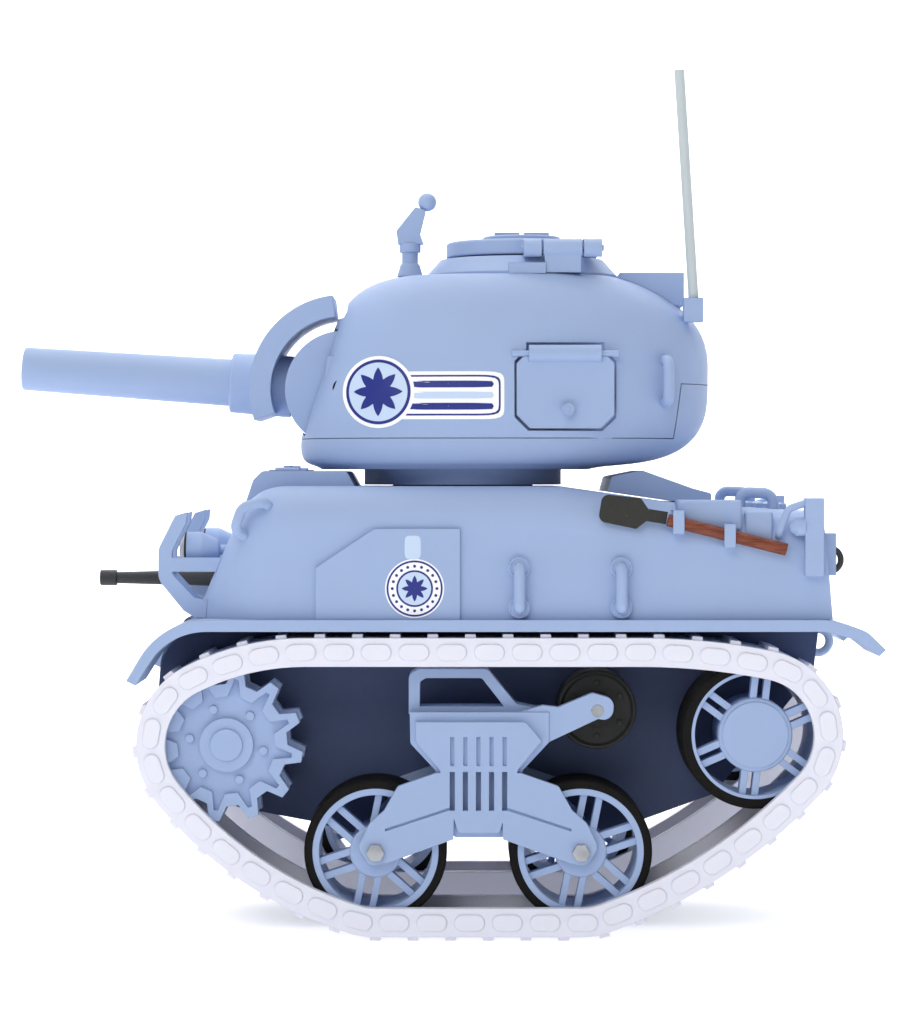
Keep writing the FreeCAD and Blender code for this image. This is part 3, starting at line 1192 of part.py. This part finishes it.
def cupola():
    """Ring on the roof, round hatch on a side hinge with its fixed knuckle and pin, and its fittings."""
    roof, radius = dim("roof_height"), dim("hatch_radius")
    y, z = HATCH_AXIS
    skirt = turned("cupola_skirt", "Z_Axis", [(roof - 0.1, 0), (roof - 0.1, 16.2), (roof + 0.5, 16.2),
                                              (roof + 3.2, 13.8, 0.4), (roof + 3.2, 0)])
    place(skirt, "dims.cupola_x")
    centre = dim("cupola_x") + 6.5
    knuckle = rod("ring_knuckle", "X", 1.5, 6.4, centre - 3.2, y, z)
    post = block("ring_post", (centre - 3.0, -16.2, roof + 0.2), (centre + 3.0, -13.2, z))
    foot = block("ring_foot", (centre - 9.0, -16.6, roof), (centre - 2.8, -12.6, roof + 1.8))
    pin = rod("hatch_pin", "X", 0.5, 13.6, centre - 6.8, y, z)
    ring = fuse("cupola_ring_whole", [skirt, knuckle, post, foot, pin])
    keep(cut("cupola_ring_trimmed", ring, doc.getObject("turret_outer")), "cupola_ring")
    top = roof + 3.5
    lid = turned("hatch_lid", "Z_Axis", [(top, 0), (top, radius, 0.3), (top + 2.6, radius, 0.5), (top + 2.6, 0)])
    place(lid, "dims.cupola_x")
    disc = turned("hatch_disc", "Z_Axis", [(top + 2.0, 0), (top + 2.0, 6.6), (top + 3.7, 6.6, 0.4), (top + 3.7, 0)])
    place(disc, "dims.cupola_x")
    parts = [lid, disc]
    for number, x in enumerate((-4.6, 0.4)):
        low = dim("cupola_x") + x
        parts.append(block("hatch_pad_%d" % number, (low, -2.4, top + 3.6), (low + 4.2, 2.4, top + 4.3)))
    for number, x in enumerate((centre - 6.5, centre + 3.4)):
        parts.append(rod("hatch_knuckle_%d" % number, "X", 1.5, 3.1, x, y, z))
        parts.append(block("hatch_arm_%d" % number, (x, y, top), (x + 3.1, -8.0, z + 1.5)))
    clearance = rod("hatch_pin_room", "X", 0.55, 20, centre - 10, y, z)
    room = rod("hatch_knuckle_room", "X", 1.8, 7.0, centre - 3.5, y, z)
    keep(cut("hatch_whole", fuse("hatch_solid", parts), fuse("hatch_rooms", [clearance, room])), "cupola_hatch")


def pistol_port():
    """Octagonal plate with a hinge barrel along its top and a knob."""
    left, right, low, high = PORT
    plate_body = plate("port_plate", "XZ_Plane", octagon(left, right, low, high, 2.2), "1.7", "%s" % (PORT_FLOOR + 0.2))
    barrel = rod("port_barrel", "X", 1.4, 11.8, 14.3, *PORT_HINGE)
    knob = rod("port_knob", "Y", 1.07, 2.6, 20.7, -PORT_FLOOR - 0.6, 85.3)
    bore = rod("port_bore", "X", 0.55, 30, 5, *PORT_HINGE)
    keep(cut("port_whole", fuse("port_solid", [plate_body, barrel, knob]), bore), "pistol_port")


def spotlight():
    """Roof spotlight that swivels on a short post."""
    roof, x, y = dim("roof_height"), -5.3, -5.0
    post = turned("spot_post", "Z_Axis", [
        (roof + 0.15, 0), (roof + 0.15, 2.2), (roof + 2.2, 1.6, 0.8), (roof + 2.4, 1.35), (roof + 4.2, 1.35),
        (roof + 4.2, 1.8, 0.2), (roof + 5.8, 1.8, 0.2), (roof + 5.8, 0)])
    place(post, str(x), str(y))
    body = plate("spot_body", "XZ_Plane", [
        (-2.0, roof + 5.6), (-2.3, roof + 7.8, 0.8), (0.9, roof + 11.8, 0.4), (2.7, roof + 11.3, 0.4),
        (1.7, roof + 7.3, 0.6), (2.3, roof + 5.6)], "2.6", "-1.3")
    place(body, str(x), str(y))
    cap = doc.addObject("Part::Sphere", "spot_cap")
    cap.Radius = 1.55
    cap.Placement.Base = V(x + 2.9, y, roof + 12.7)
    keep(fuse("spot_whole", [post, body, cap]), "roof_spotlight")


# ---------------------------------------------------------------- build, check and write

for build in (lower_hull, transmission_cover, shovel, upper_hull, driver_hatches, fenders, grab_handles,
              lifting_rings, headlamps, engine_deck, track, sprocket, road_wheels, idlers, return_rollers, bogie,
              wheel_pins, drive_train, electronics, bow_gun, turret, gun, cupola, pistol_port, spotlight):
    build()
doc.recompute()

failed = [item.Name for item in doc.Objects if "Invalid" in item.State or "Error" in item.State]
if failed:
    raise RuntimeError("failed: %s" % ", ".join(failed))
for item in PIECES:
    if item.Shape.isNull() or not item.Shape.isValid() or not item.Shape.Solids:
        raise RuntimeError("%s has no sound shape" % item.Label)

os.makedirs("parts", exist_ok=True)
for item in PIECES:
    item.Shape.exportStep("parts/%s.step" % item.Label)
    print("%-22s %d solid(s) %9.1f mm3" % (item.Label, len(item.Shape.Solids), item.Shape.Volume))
print("%d pieces" % len(PIECES))
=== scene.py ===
import json
import math

import bmesh
import bpy
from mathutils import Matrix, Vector


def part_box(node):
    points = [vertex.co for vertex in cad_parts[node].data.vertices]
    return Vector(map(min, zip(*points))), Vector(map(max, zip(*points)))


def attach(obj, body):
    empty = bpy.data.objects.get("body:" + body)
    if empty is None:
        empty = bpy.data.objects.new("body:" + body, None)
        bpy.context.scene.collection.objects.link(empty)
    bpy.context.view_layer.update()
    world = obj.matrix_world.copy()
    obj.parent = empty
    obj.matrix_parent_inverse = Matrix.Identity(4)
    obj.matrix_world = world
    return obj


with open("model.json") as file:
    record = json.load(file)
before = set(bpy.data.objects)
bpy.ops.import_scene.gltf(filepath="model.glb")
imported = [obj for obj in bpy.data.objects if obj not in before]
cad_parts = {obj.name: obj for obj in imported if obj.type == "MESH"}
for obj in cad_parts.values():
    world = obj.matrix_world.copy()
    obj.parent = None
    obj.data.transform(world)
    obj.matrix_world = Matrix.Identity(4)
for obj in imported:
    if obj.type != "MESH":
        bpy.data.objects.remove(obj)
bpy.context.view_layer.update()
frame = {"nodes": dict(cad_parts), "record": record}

MM = 0.001


# ---------------------------------------------------------------- materials


def srgb(red, green, blue):
    """Linear colour of an 8-bit display colour."""
    def linear(value):
        value /= 255.0
        return value / 12.92 if value <= 0.04045 else ((value + 0.055) / 1.055) ** 2.4
    return (linear(red), linear(green), linear(blue), 1.0)


def scaled(colour, factor):
    return tuple(min(channel * factor, 1.0) for channel in colour[:3]) + (1.0,)


class Surface:
    """A node material: mottled colour, uneven roughness, fine grain and softened edges."""

    def __init__(self, name, colour, roughness, grain=0.02, grain_scale=5200.0, mottle=0.05, edge=0.22,
                 **values):
        self.material = bpy.data.materials.new(name)
        self.material.use_nodes = True
        self.tree = self.material.node_tree
        self.shader = self.tree.nodes["Principled BSDF"]
        self.shader.inputs["Specular IOR Level"].default_value = values.pop("specular", 0.35)
        for socket, value in values.items():
            self.shader.inputs[socket.replace("_", " ")].default_value = value
        self.place = self.add("ShaderNodeTexCoord").outputs["Object"]
        cloud = self.noise(90.0, 5.0)
        self.colour = self.blend(cloud, scaled(colour, 1.0 - mottle), scaled(colour, 1.0 + mottle))
        self.roughness = self.ramp(self.noise(700.0, 4.0), roughness - 0.06, roughness + 0.06)
        self.height = self.noise(grain_scale, 3.0)
        self.grain = grain
        self.edge = edge * MM

    def add(self, kind, **settings):
        node = self.tree.nodes.new(kind)
        for name, value in settings.items():
            setattr(node, name, value)
        return node

    def join(self, source, target):
        self.tree.links.new(source, target)

    def noise(self, scale, detail):
        node = self.add("ShaderNodeTexNoise")
        node.inputs["Scale"].default_value = scale
        node.inputs["Detail"].default_value = detail
        self.join(self.place, node.inputs["Vector"])
        return node.outputs["Fac"]

    def ramp(self, source, low, high, start=0.3, end=0.7):
        node = self.add("ShaderNodeMapRange")
        for socket, value in (("From Min", start), ("From Max", end), ("To Min", low), ("To Max", high)):
            node.inputs[socket].default_value = value
        self.join(source, node.inputs["Value"])
        return node.outputs["Result"]

    def blend(self, factor, first, second):
        node = self.add("ShaderNodeMix", data_type="RGBA")
        self.join(factor, node.inputs["Factor"])
        for socket, value in (("A", first), ("B", second)):
            target = [entry for entry in node.inputs if entry.name == socket and entry.type == "RGBA"][0]
            if hasattr(value, "is_output"):
                self.join(value, target)
            else:
                target.default_value = value
        return [entry for entry in node.outputs if entry.type == "RGBA"][0]

    def specks(self, scale, share, colour):
        """Sparse small specks of another tone."""
        cells = self.add("ShaderNodeTexVoronoi")
        cells.inputs["Scale"].default_value = scale
        self.join(self.place, cells.inputs["Vector"])
        mask = self.ramp(cells.outputs["Distance"], 1.0, 0.0, share * 0.5, share)
        self.colour = self.blend(mask, self.colour, colour)

    def beyond(self, reach, colour):
        """Another colour for everything behind the given X, in millimetres."""
        parts = self.add("ShaderNodeSeparateXYZ")
        self.join(self.place, parts.inputs["Vector"])
        mask = self.ramp(parts.outputs["X"], 0.0, 1.0, reach * MM, (reach + 0.1) * MM)
        self.colour = self.blend(mask, self.colour, colour)

    def streaks(self, stretch, colour, amount):
        """Long streaks, as in brushed metal or wood grain."""
        mapping = self.add("ShaderNodeMapping")
        mapping.inputs["Scale"].default_value = stretch
        self.join(self.place, mapping.inputs["Vector"])
        lines = self.add("ShaderNodeTexNoise")
        lines.inputs["Scale"].default_value = 1.0
        lines.inputs["Detail"].default_value = 6.0
        self.join(mapping.outputs["Vector"], lines.inputs["Vector"])
        mask = self.ramp(lines.outputs["Fac"], 0.0, amount, 0.42, 0.62)
        self.colour = self.blend(mask, self.colour, colour)
        self.height = lines.outputs["Fac"]

    def finish(self):
        """Connects colour, roughness and the bump over rounded-edge normals."""
        self.join(self.colour, self.shader.inputs["Base Color"])
        self.join(self.roughness, self.shader.inputs["Roughness"])
        bump = self.add("ShaderNodeBump")
        bump.inputs["Strength"].default_value = self.grain
        bump.inputs["Distance"].default_value = 0.2 * MM
        self.join(self.height, bump.inputs["Height"])
        if self.edge > 0:
            soft = self.add("ShaderNodeBevel", samples=4)
            soft.inputs["Radius"].default_value = self.edge
            self.join(soft.outputs["Normal"], bump.inputs["Normal"])
        self.join(bump.outputs["Normal"], self.shader.inputs["Normal"])
        return self.material


BLUE = srgb(158, 178, 214)
NAVY = srgb(42, 52, 132)
# Painted shade: the blue plastic darkened to stand for the shade in the recessed lower hull.
SHADED_BLUE = srgb(73, 85, 118)


def make_materials():
    """One material for each of the record's slots, and the stickers' inks."""
    made = {}
    blue = Surface("moulded_blue", BLUE, 0.56, grain=0.12, mottle=0.03, specular=0.3)
    blue.specks(420.0, 0.05, scaled(BLUE, 0.86))
    made["blue_plastic"] = blue.finish()
    # Painted shade: the slate_plastic slot is the same blue plastic, darkened for the shaded lower hull;
    # behind X 62.7 mm it keeps the plain blue.
    shaded_blue = Surface("moulded_blue_painted_shade", SHADED_BLUE, 0.58, grain=0.12, mottle=0.05, specular=0.25)
    shaded_blue.specks(420.0, 0.05, scaled(SHADED_BLUE, 0.8))
    shaded_blue.beyond(62.7, BLUE)
    made["slate_plastic"] = shaded_blue.finish()
    white = Surface("soft_white_vinyl", srgb(229, 230, 241), 0.5, grain=0.2, mottle=0.02, edge=0.3,
                    specular=0.35, Subsurface_Weight=0.12, Subsurface_Scale=0.8 * MM)
    made["track_white"] = white.finish()
    rubber = Surface("wheel_rubber", srgb(17, 16, 15), 0.75, grain=0.45, mottle=0.16, specular=0.18)
    rubber.specks(900.0, 0.08, srgb(42, 40, 38))
    made["tyre_black"] = rubber.finish()
    made["roller_black"] = Surface("roller_plastic", srgb(24, 24, 22), 0.6, grain=0.2, mottle=0.12).finish()
    made["gun_black"] = Surface("gun_plastic", srgb(52, 54, 55), 0.5, grain=0.25, mottle=0.1).finish()
    blade = Surface("painted_blade", srgb(46, 46, 43), 0.55, grain=0.5, grain_scale=2600.0, mottle=0.14)
    blade.specks(620.0, 0.1, srgb(72, 68, 60))
    made["shovel_grey"] = blade.finish()
    handle = Surface("painted_handle", srgb(132, 68, 46), 0.5, grain=0.35, mottle=0.1)
    handle.streaks((160.0, 3200.0, 3200.0), srgb(84, 38, 24), 0.75)
    made["handle_brown"] = handle.finish()
    clear = Surface("translucent_rod", srgb(204, 214, 216), 0.34, grain=0.03, mottle=0.02, edge=0,
                    specular=0.5, Transmission_Weight=0.15, IOR=1.45)
    made["antenna_clear"] = clear.finish()
    lens = Surface("clear_lens", srgb(226, 233, 240), 0.12, grain=0.02, mottle=0.02, edge=0.1, specular=0.5,
                   Transmission_Weight=0.6, IOR=1.45)
    made["lens_clear"] = lens.finish()
    steel = Surface("turned_steel", srgb(170, 172, 176), 0.32, grain=0.2, mottle=0.06, Metallic=1.0)
    steel.streaks((400.0, 4200.0, 400.0), srgb(120, 122, 126), 0.4)
    made["steel"] = steel.finish()
    made["gear_white"] = Surface("gear_resin", srgb(226, 224, 214), 0.45, grain=0.1, mottle=0.03).finish()
    board = Surface("board_green", srgb(24, 92, 52), 0.3, grain=0.2, mottle=0.1)
    board.specks(800.0, 0.2, srgb(196, 170, 90))
    made["board_green"] = board.finish()
    made["battery_wrap"] = Surface("battery_sleeve", srgb(38, 84, 160), 0.3, grain=0.15, mottle=0.08).finish()
    for tone, colour, mottle in (("white", srgb(250, 250, 252), 0.01), ("navy", NAVY, 0.06),
                                 ("pale", srgb(198, 216, 240), 0.04)):
        film = Surface("sticker_" + tone, colour, 0.36, grain=0.04, mottle=mottle, edge=0)
        made["ink_" + tone] = film.finish()
    return made


MATERIALS = make_materials()


def dress_frame():
    """Every CAD piece gets the material of its slot in the record."""
    for part in frame["record"]["subparts"]:
        node = frame["nodes"][part["node"]]
        material = MATERIALS[part["material_slot"]]
        if not node.material_slots:
            node.data.materials.append(material)
        for material_slot in node.material_slots:
            material_slot.link = "OBJECT"
            material_slot.material = material


# ---------------------------------------------------------------- mesh pieces


def piece(name, vertices, faces, slot, body, smooth=40.0, ink=None):
    """A mesh in the frame, with the record's slot and its material, riding on a body."""
    mesh = bpy.data.meshes.new(name)
    mesh.from_pydata([tuple(vertex) for vertex in vertices], [], faces)
    mesh.update()
    work = bmesh.new()
    work.from_mesh(mesh)
    bmesh.ops.recalc_face_normals(work, faces=work.faces)
    work.to_mesh(mesh)
    work.free()
    obj = bpy.data.objects.new(name, mesh)
    bpy.context.collection.objects.link(obj)
    mesh.shade_smooth()
    mesh.set_sharp_from_angle(angle=math.radians(smooth))
    mesh.materials.append(MATERIALS[ink or slot])
    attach(obj, body)
    return obj


def revolve(profile, centre, axis, count=40):
    """Vertices and faces of a closed (radius, height) profile turned about an axis through the centre."""
    axis = Vector(axis).normalized()
    side = axis.orthogonal().normalized()
    across = axis.cross(side)
    vertices, faces = [], []
    for number in range(count):
        angle = 2.0 * math.pi * number / count
        outward = side * math.cos(angle) + across * math.sin(angle)
        vertices += [Vector(centre) + outward * radius + axis * height for radius, height in profile]
    size = len(profile)
    for number in range(count):
        here, there = number * size, ((number + 1) % count) * size
        for step in range(size - 1):
            faces.append((here + step, here + step + 1, there + step + 1, there + step))
    for end in (0, size - 1):
        faces.append(tuple(number * size + end for number in range(count)))
    return vertices, faces


def ring(centre, axis, radius, thickness, count=48, around=12, start=0.0, sweep=2.0 * math.pi):
    """Vertices and faces of a round bar bent about an axis: a whole ring, or an arc with closed ends."""
    axis = Vector(axis).normalized()
    side = Vector((1.0, 0.0, 0.0)) if abs(axis.x) < 0.5 else Vector((0.0, 1.0, 0.0))
    across = axis.cross(side)
    whole = sweep > 2.0 * math.pi - 1e-6
    stations = count if whole else count + 1
    vertices, faces = [], []
    for number in range(stations):
        angle = start + sweep * number / count
        outward = side * math.cos(angle) + across * math.sin(angle)
        for turn in range(around):
            bend = 2.0 * math.pi * turn / around
            reach = radius + thickness * math.cos(bend)
            vertices.append(Vector(centre) + outward * reach + axis * thickness * math.sin(bend))
    for number in range(count):
        here, there = number * around, ((number + 1) % stations) * around
        for turn in range(around):
            after = (turn + 1) % around
            faces.append((here + turn, here + after, there + after, there + turn))
    if not whole:
        faces.append(tuple(range(around)))
        faces.append(tuple(range(count * around, (count + 1) * around)))
    return vertices, faces


def slab(low, high, chamfer):
    """Vertices and faces of a box whose top edges are chamfered."""
    (x0, y0, z0), (x1, y1, z1) = low, high
    levels = [(z0, 0.0), (z1 - chamfer, 0.0), (z1, chamfer)]
    vertices = [Vector(corner) for z, inset in levels for corner in (
        (x0 + inset, y0 + inset, z), (x1 - inset, y0 + inset, z),
        (x1 - inset, y1 - inset, z), (x0 + inset, y1 - inset, z))]
    faces = [(0, 1, 2, 3), (8, 9, 10, 11)]
    for level in (0, 4):
        for corner in range(4):
            after = (corner + 1) % 4
            faces.append((level + corner, level + after, level + 4 + after, level + 4 + corner))
    return vertices, faces


def in_mm(shape):
    """The same shape given in millimetres, in metres."""
    vertices, faces = shape
    return [vertex * MM for vertex in vertices], faces


def merged(parts):
    """One list of vertices and faces out of several."""
    vertices, faces = [], []
    for some_vertices, some_faces in parts:
        base = len(vertices)
        vertices += some_vertices
        faces += [tuple(base + index for index in face) for face in some_faces]
    return vertices, faces


def surface_point(nodes, x, z, lift):
    """Point on the left side of the named CAD pieces, lifted off it by the given distance."""
    best = None
    for name in nodes:
        start = Vector((x, -80.0 * MM, z))
        found, place, normal, _ = frame["nodes"][name].ray_cast(start, Vector((0.0, 1.0, 0.0)))
        if found and (best is None or place.y < best[0].y):
            best = (place, normal if normal.y < 0 else -normal)
    return best[0] + best[1] * lift


def sticker(name, nodes, body, ink, centre, outline, thickness=0.06, spokes=72, rings=7):
    """Thin film laid on the left side: a shape about its centre, given by radius(angle)."""
    smallest = 0.02
    vertices, faces = [], []
    for lift in (-0.03 * MM, thickness * MM):
        for circle in range(rings + 1):
            share = max(circle / rings, smallest)
            for spoke in range(spokes):
                angle = 2.0 * math.pi * spoke / spokes
                radius = outline(angle) * share
                x = centre[0] + radius * math.cos(angle)
                z = centre[1] + radius * math.sin(angle)
                vertices.append(surface_point(nodes, x * MM, z * MM, lift))
    layer = (rings + 1) * spokes
    for level in (0, 1):
        for circle in range(rings):
            for spoke in range(spokes):
                a = level * layer + circle * spokes + spoke
                b = level * layer + circle * spokes + (spoke + 1) % spokes
                faces.append((a, b, b + spokes, a + spokes))
    for circle in (0, rings):
        for spoke in range(spokes):
            a = circle * spokes + spoke
            b = circle * spokes + (spoke + 1) % spokes
            faces.append((a, b, b + layer, a + layer))
    return piece(name, vertices, faces, "blue_plastic", body, ink=ink)


def superellipse(half_width, half_height, power, turn=0.0):
    """radius(angle) of a rounded rectangle (power 4 or more), an ellipse (2) or a diamond (1)."""
    def radius(angle):
        angle -= turn
        x = abs(math.cos(angle)) / half_width
        z = abs(math.sin(angle)) / half_height
        return (x ** power + z ** power) ** (-1.0 / power)
    return radius


def star(points, outer, depth, turn=math.pi / 2.0):
    """radius(angle) of a star with straight flanks."""
    def radius(angle):
        share = ((angle - turn) * points / (2.0 * math.pi)) % 1.0
        fold = min(share, 1.0 - share) * 2.0
        step = math.pi / points
        x = outer + (outer * depth * math.cos(step) - outer) * fold
        z = outer * depth * math.sin(step) * fold
        return math.hypot(x, z)
    return radius


def turret_sticker():
    """Generic sticker on the turret's left side: a star roundel at the head of a striped pennant."""
    nodes = ("turret_shell", "turret_base")
    height, thin = 87.6, 0.03
    pennant = (0.4, height)
    layers = [("edge", "ink_white", 9.9, 3.9), ("navy", "ink_navy", 9.3, 3.3),
              ("field", "ink_white", 9.0, 3.0)]
    lift = 0.05
    for name, ink, half, high in layers:
        sticker("turret_pennant_" + name, nodes, "turret", ink, pennant, superellipse(half, high, 9.0),
                thickness=lift, spokes=120, rings=10)
        lift += thin
    for number, rise in enumerate((-1.8, 0.0, 1.8)):
        ink = "ink_pale" if number == 1 else "ink_navy"
        sticker("turret_stripe_%d" % number, nodes, "turret", ink, (1.2, height + rise),
                superellipse(7.4, 0.55, 8.0), thickness=lift, spokes=96, rings=4)
    roundel = (-10.2, height + 0.6)
    rings = [("edge", "ink_white", 5.9), ("navy", "ink_navy", 5.3), ("field", "ink_pale", 4.8)]
    lift += thin
    for name, ink, radius in rings:
        sticker("turret_roundel_" + name, nodes, "turret", ink, roundel, superellipse(radius, radius, 2.0),
                thickness=lift, spokes=80, rings=6)
        lift += thin
    sticker("turret_roundel_star", nodes, "turret", "ink_navy", roundel, star(8, 4.0, 0.52), thickness=lift,
            spokes=120, rings=6)


def hull_sticker():
    """Round generic badge with a ring of dots and a star, and the tab of film above it."""
    nodes = ("upper_hull",)
    centre = (-4.2, 56.4)
    rings = [("edge", "ink_white", 4.75, 0.05), ("rim", "ink_navy", 4.5, 0.08),
             ("band", "ink_white", 4.2, 0.11), ("inner_rim", "ink_navy", 2.95, 0.14),
             ("field", "ink_pale", 2.65, 0.17)]
    for name, ink, radius, lift in rings:
        sticker("badge_" + name, nodes, "hull", ink, centre, superellipse(radius, radius, 2.0),
                thickness=lift, spokes=80, rings=4)
    sticker("badge_star", nodes, "hull", "ink_navy", centre, star(8, 2.1, 0.5), thickness=0.20,
            spokes=100, rings=4)
    for number in range(20):
        angle = 2.0 * math.pi * number / 20
        spot = (centre[0] + 3.58 * math.cos(angle), centre[1] + 3.58 * math.sin(angle))
        sticker("badge_dot_%02d" % number, nodes, "hull", "ink_navy", spot, superellipse(0.24, 0.24, 2.0),
                thickness=0.14, spokes=16, rings=2)
    sticker("badge_tab", nodes, "hull", "ink_pale", (-4.5, 63.0), superellipse(1.3, 1.9, 5.0), thickness=0.05,
            spokes=40, rings=4)


# ---------------------------------------------------------------- small moulded trim


def on_both_sides(name, shape, slot, body, ink=None):
    """The left-hand piece and its mirror image."""
    vertices, faces = in_mm(shape)
    piece("left_" + name, vertices, faces, slot, body, ink=ink)
    piece("right_" + name, [Vector((v.x, -v.y, v.z)) for v in vertices], faces, slot, body, ink=ink)


def rail_collars():
    """Raised lip round each foot of the grab handles."""
    side = frame_side("upper_hull")
    lips = []
    for x in (12.6, 29.0):
        for z in (53.3, 59.7):
            lips.append(ring((x, side - 0.72, z), (0.0, 1.0, 0.0), 1.56, 0.2))
    on_both_sides("rail_collars", merged(lips), "blue_plastic", "hull")


def frame_side(node):
    """Y of the flat left side of the hull's cast body, in millimetres."""
    point = surface_point((node,), 20.0 * MM, 56.0 * MM, 0.0)
    return point.y / MM


def lamp_gaskets():
    """Dark ring between each headlamp's shell and its lens."""
    low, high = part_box("headlamp_lenses")
    x = high.x / MM
    centre_y = low.y / MM + 2.6
    centre_z = 0.5 * (low.z + high.z) / MM
    gasket = ring((x - 0.1, centre_y, centre_z), (1.0, 0.0, 0.0), 2.62, 0.24)
    on_both_sides("lamp_gasket", gasket, "roller_black", "hull")


def port_knob():
    """Turned lip and centre dot on the pistol port's knob."""
    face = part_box("pistol_port")[0].y / MM
    dot = revolve([(0.34, 0.1), (0.34, -0.08), (0.2, -0.14)], (20.7, face, 85.3), (0.0, 1.0, 0.0), 20)
    whole = merged([ring((20.7, face + 0.02, 85.3), (0.0, 1.0, 0.0), 0.82, 0.13), dot])
    vertices, faces = in_mm(whole)
    piece("port_knob_lip", vertices, faces, "blue_plastic", "port")


def deck_louvres():
    """Slats of the air grille on the engine deck, behind the hood."""
    slats = []
    for number in range(6):
        x = 46.6 + 1.9 * number
        top = 70.35 - 0.07 * number
        slats.append(slab((x, 3.0, top - 1.2), (x + 1.0, 15.0, top), 0.25))
    vertices, faces = merged(slats)
    left = [Vector((v.x, -v.y, v.z)) for v in vertices]
    on_both_sides("deck_louvres", (left, faces), "blue_plastic", "hull")


def rear_shackles():
    """Dark shackles hanging from the hooks at the back."""
    shackle = ring((62.9, -25.8, 60.9), (0.0, 1.0, 0.0), 1.9, 0.5, start=-1.9, sweep=3.8)
    on_both_sides("rear_shackle", shackle, "gun_black", "hull")


# ---------------------------------------------------------------- stage, light and camera


def sweep():
    """Pale floor that curves up into a backdrop."""
    width, near, far, bend, top = 3.0, -1.6, 0.9, 0.5, 2.2
    rows = [(near, 0.0), (far - bend, 0.0)]
    for step in range(1, 13):
        angle = math.pi / 2.0 * step / 12
        rows.append((far - bend + bend * math.sin(angle), bend - bend * math.cos(angle)))
    rows.append((far, top))
    vertices = [(side * width, y, z) for y, z in rows for side in (-1, 1)]
    faces = [(2 * row, 2 * row + 1, 2 * row + 3, 2 * row + 2) for row in range(len(rows) - 1)]
    mesh = bpy.data.meshes.new("floor_sweep")
    mesh.from_pydata(vertices, [], faces)
    mesh.shade_smooth()
    floor = bpy.data.objects.new("floor_sweep", mesh)
    bpy.context.collection.objects.link(floor)
    paper = Surface("paper_sweep", srgb(246, 247, 250), 0.7, grain=0.02, grain_scale=300.0, mottle=0.01,
                    edge=0, Emission_Color=(1.0, 1.0, 1.0, 1.0), Emission_Strength=0.42)
    mesh.materials.append(paper.finish())


def area_light(name, place, target, size, power, colour=(1.0, 1.0, 1.0)):
    data = bpy.data.lights.new(name, "AREA")
    data.shape = "RECTANGLE"
    data.size, data.size_y = size
    data.energy = power
    data.color = colour
    light = bpy.data.objects.new(name, data)
    light.location = place
    light.rotation_euler = (Vector(target) - Vector(place)).to_track_quat("-Z", "Y").to_euler()
    bpy.context.collection.objects.link(light)


def lighting():
    """Bright even surroundings with a large soft box above and a fill from the front."""
    world = bpy.data.worlds.new("studio")
    world.use_nodes = True
    world.node_tree.nodes["Background"].inputs["Color"].default_value = (1.0, 1.0, 1.0, 1.0)
    world.node_tree.nodes["Background"].inputs["Strength"].default_value = 0.24
    bpy.context.scene.world = world
    bpy.context.scene.view_settings.view_transform = "Standard"
    middle = (0.0, 0.0, 0.06)
    area_light("top_box", (-0.1, -0.1, 0.95), middle, (0.9, 0.7), 4.0)
    area_light("front_fill", (-0.35, -0.95, 0.7), middle, (0.8, 0.5), 4.0, (0.99, 0.99, 1.0))
    area_light("back_wash", (0.0, 0.35, 0.9), (0.0, 0.8, 0.3), (1.4, 0.5), 8.0)


def camera():
    """Level view of the left side from half a metre away."""
    data = bpy.data.cameras.new("camera")
    data.lens = 110.7
    data.sensor_width = 36.0
    data.shift_y = -0.036
    data.clip_start = 0.01
    view = bpy.data.objects.new("camera", data)
    view.location = (0.0022, -0.536, 0.0746)
    view.rotation_euler = (math.radians(90.0), 0.0, 0.0)
    bpy.context.collection.objects.link(view)
    bpy.context.scene.camera = view


dress_frame()
turret_sticker()
hull_sticker()
rail_collars()
lamp_gaskets()
port_knob()
deck_louvres()
rear_shackles()
sweep()
lighting()
camera()
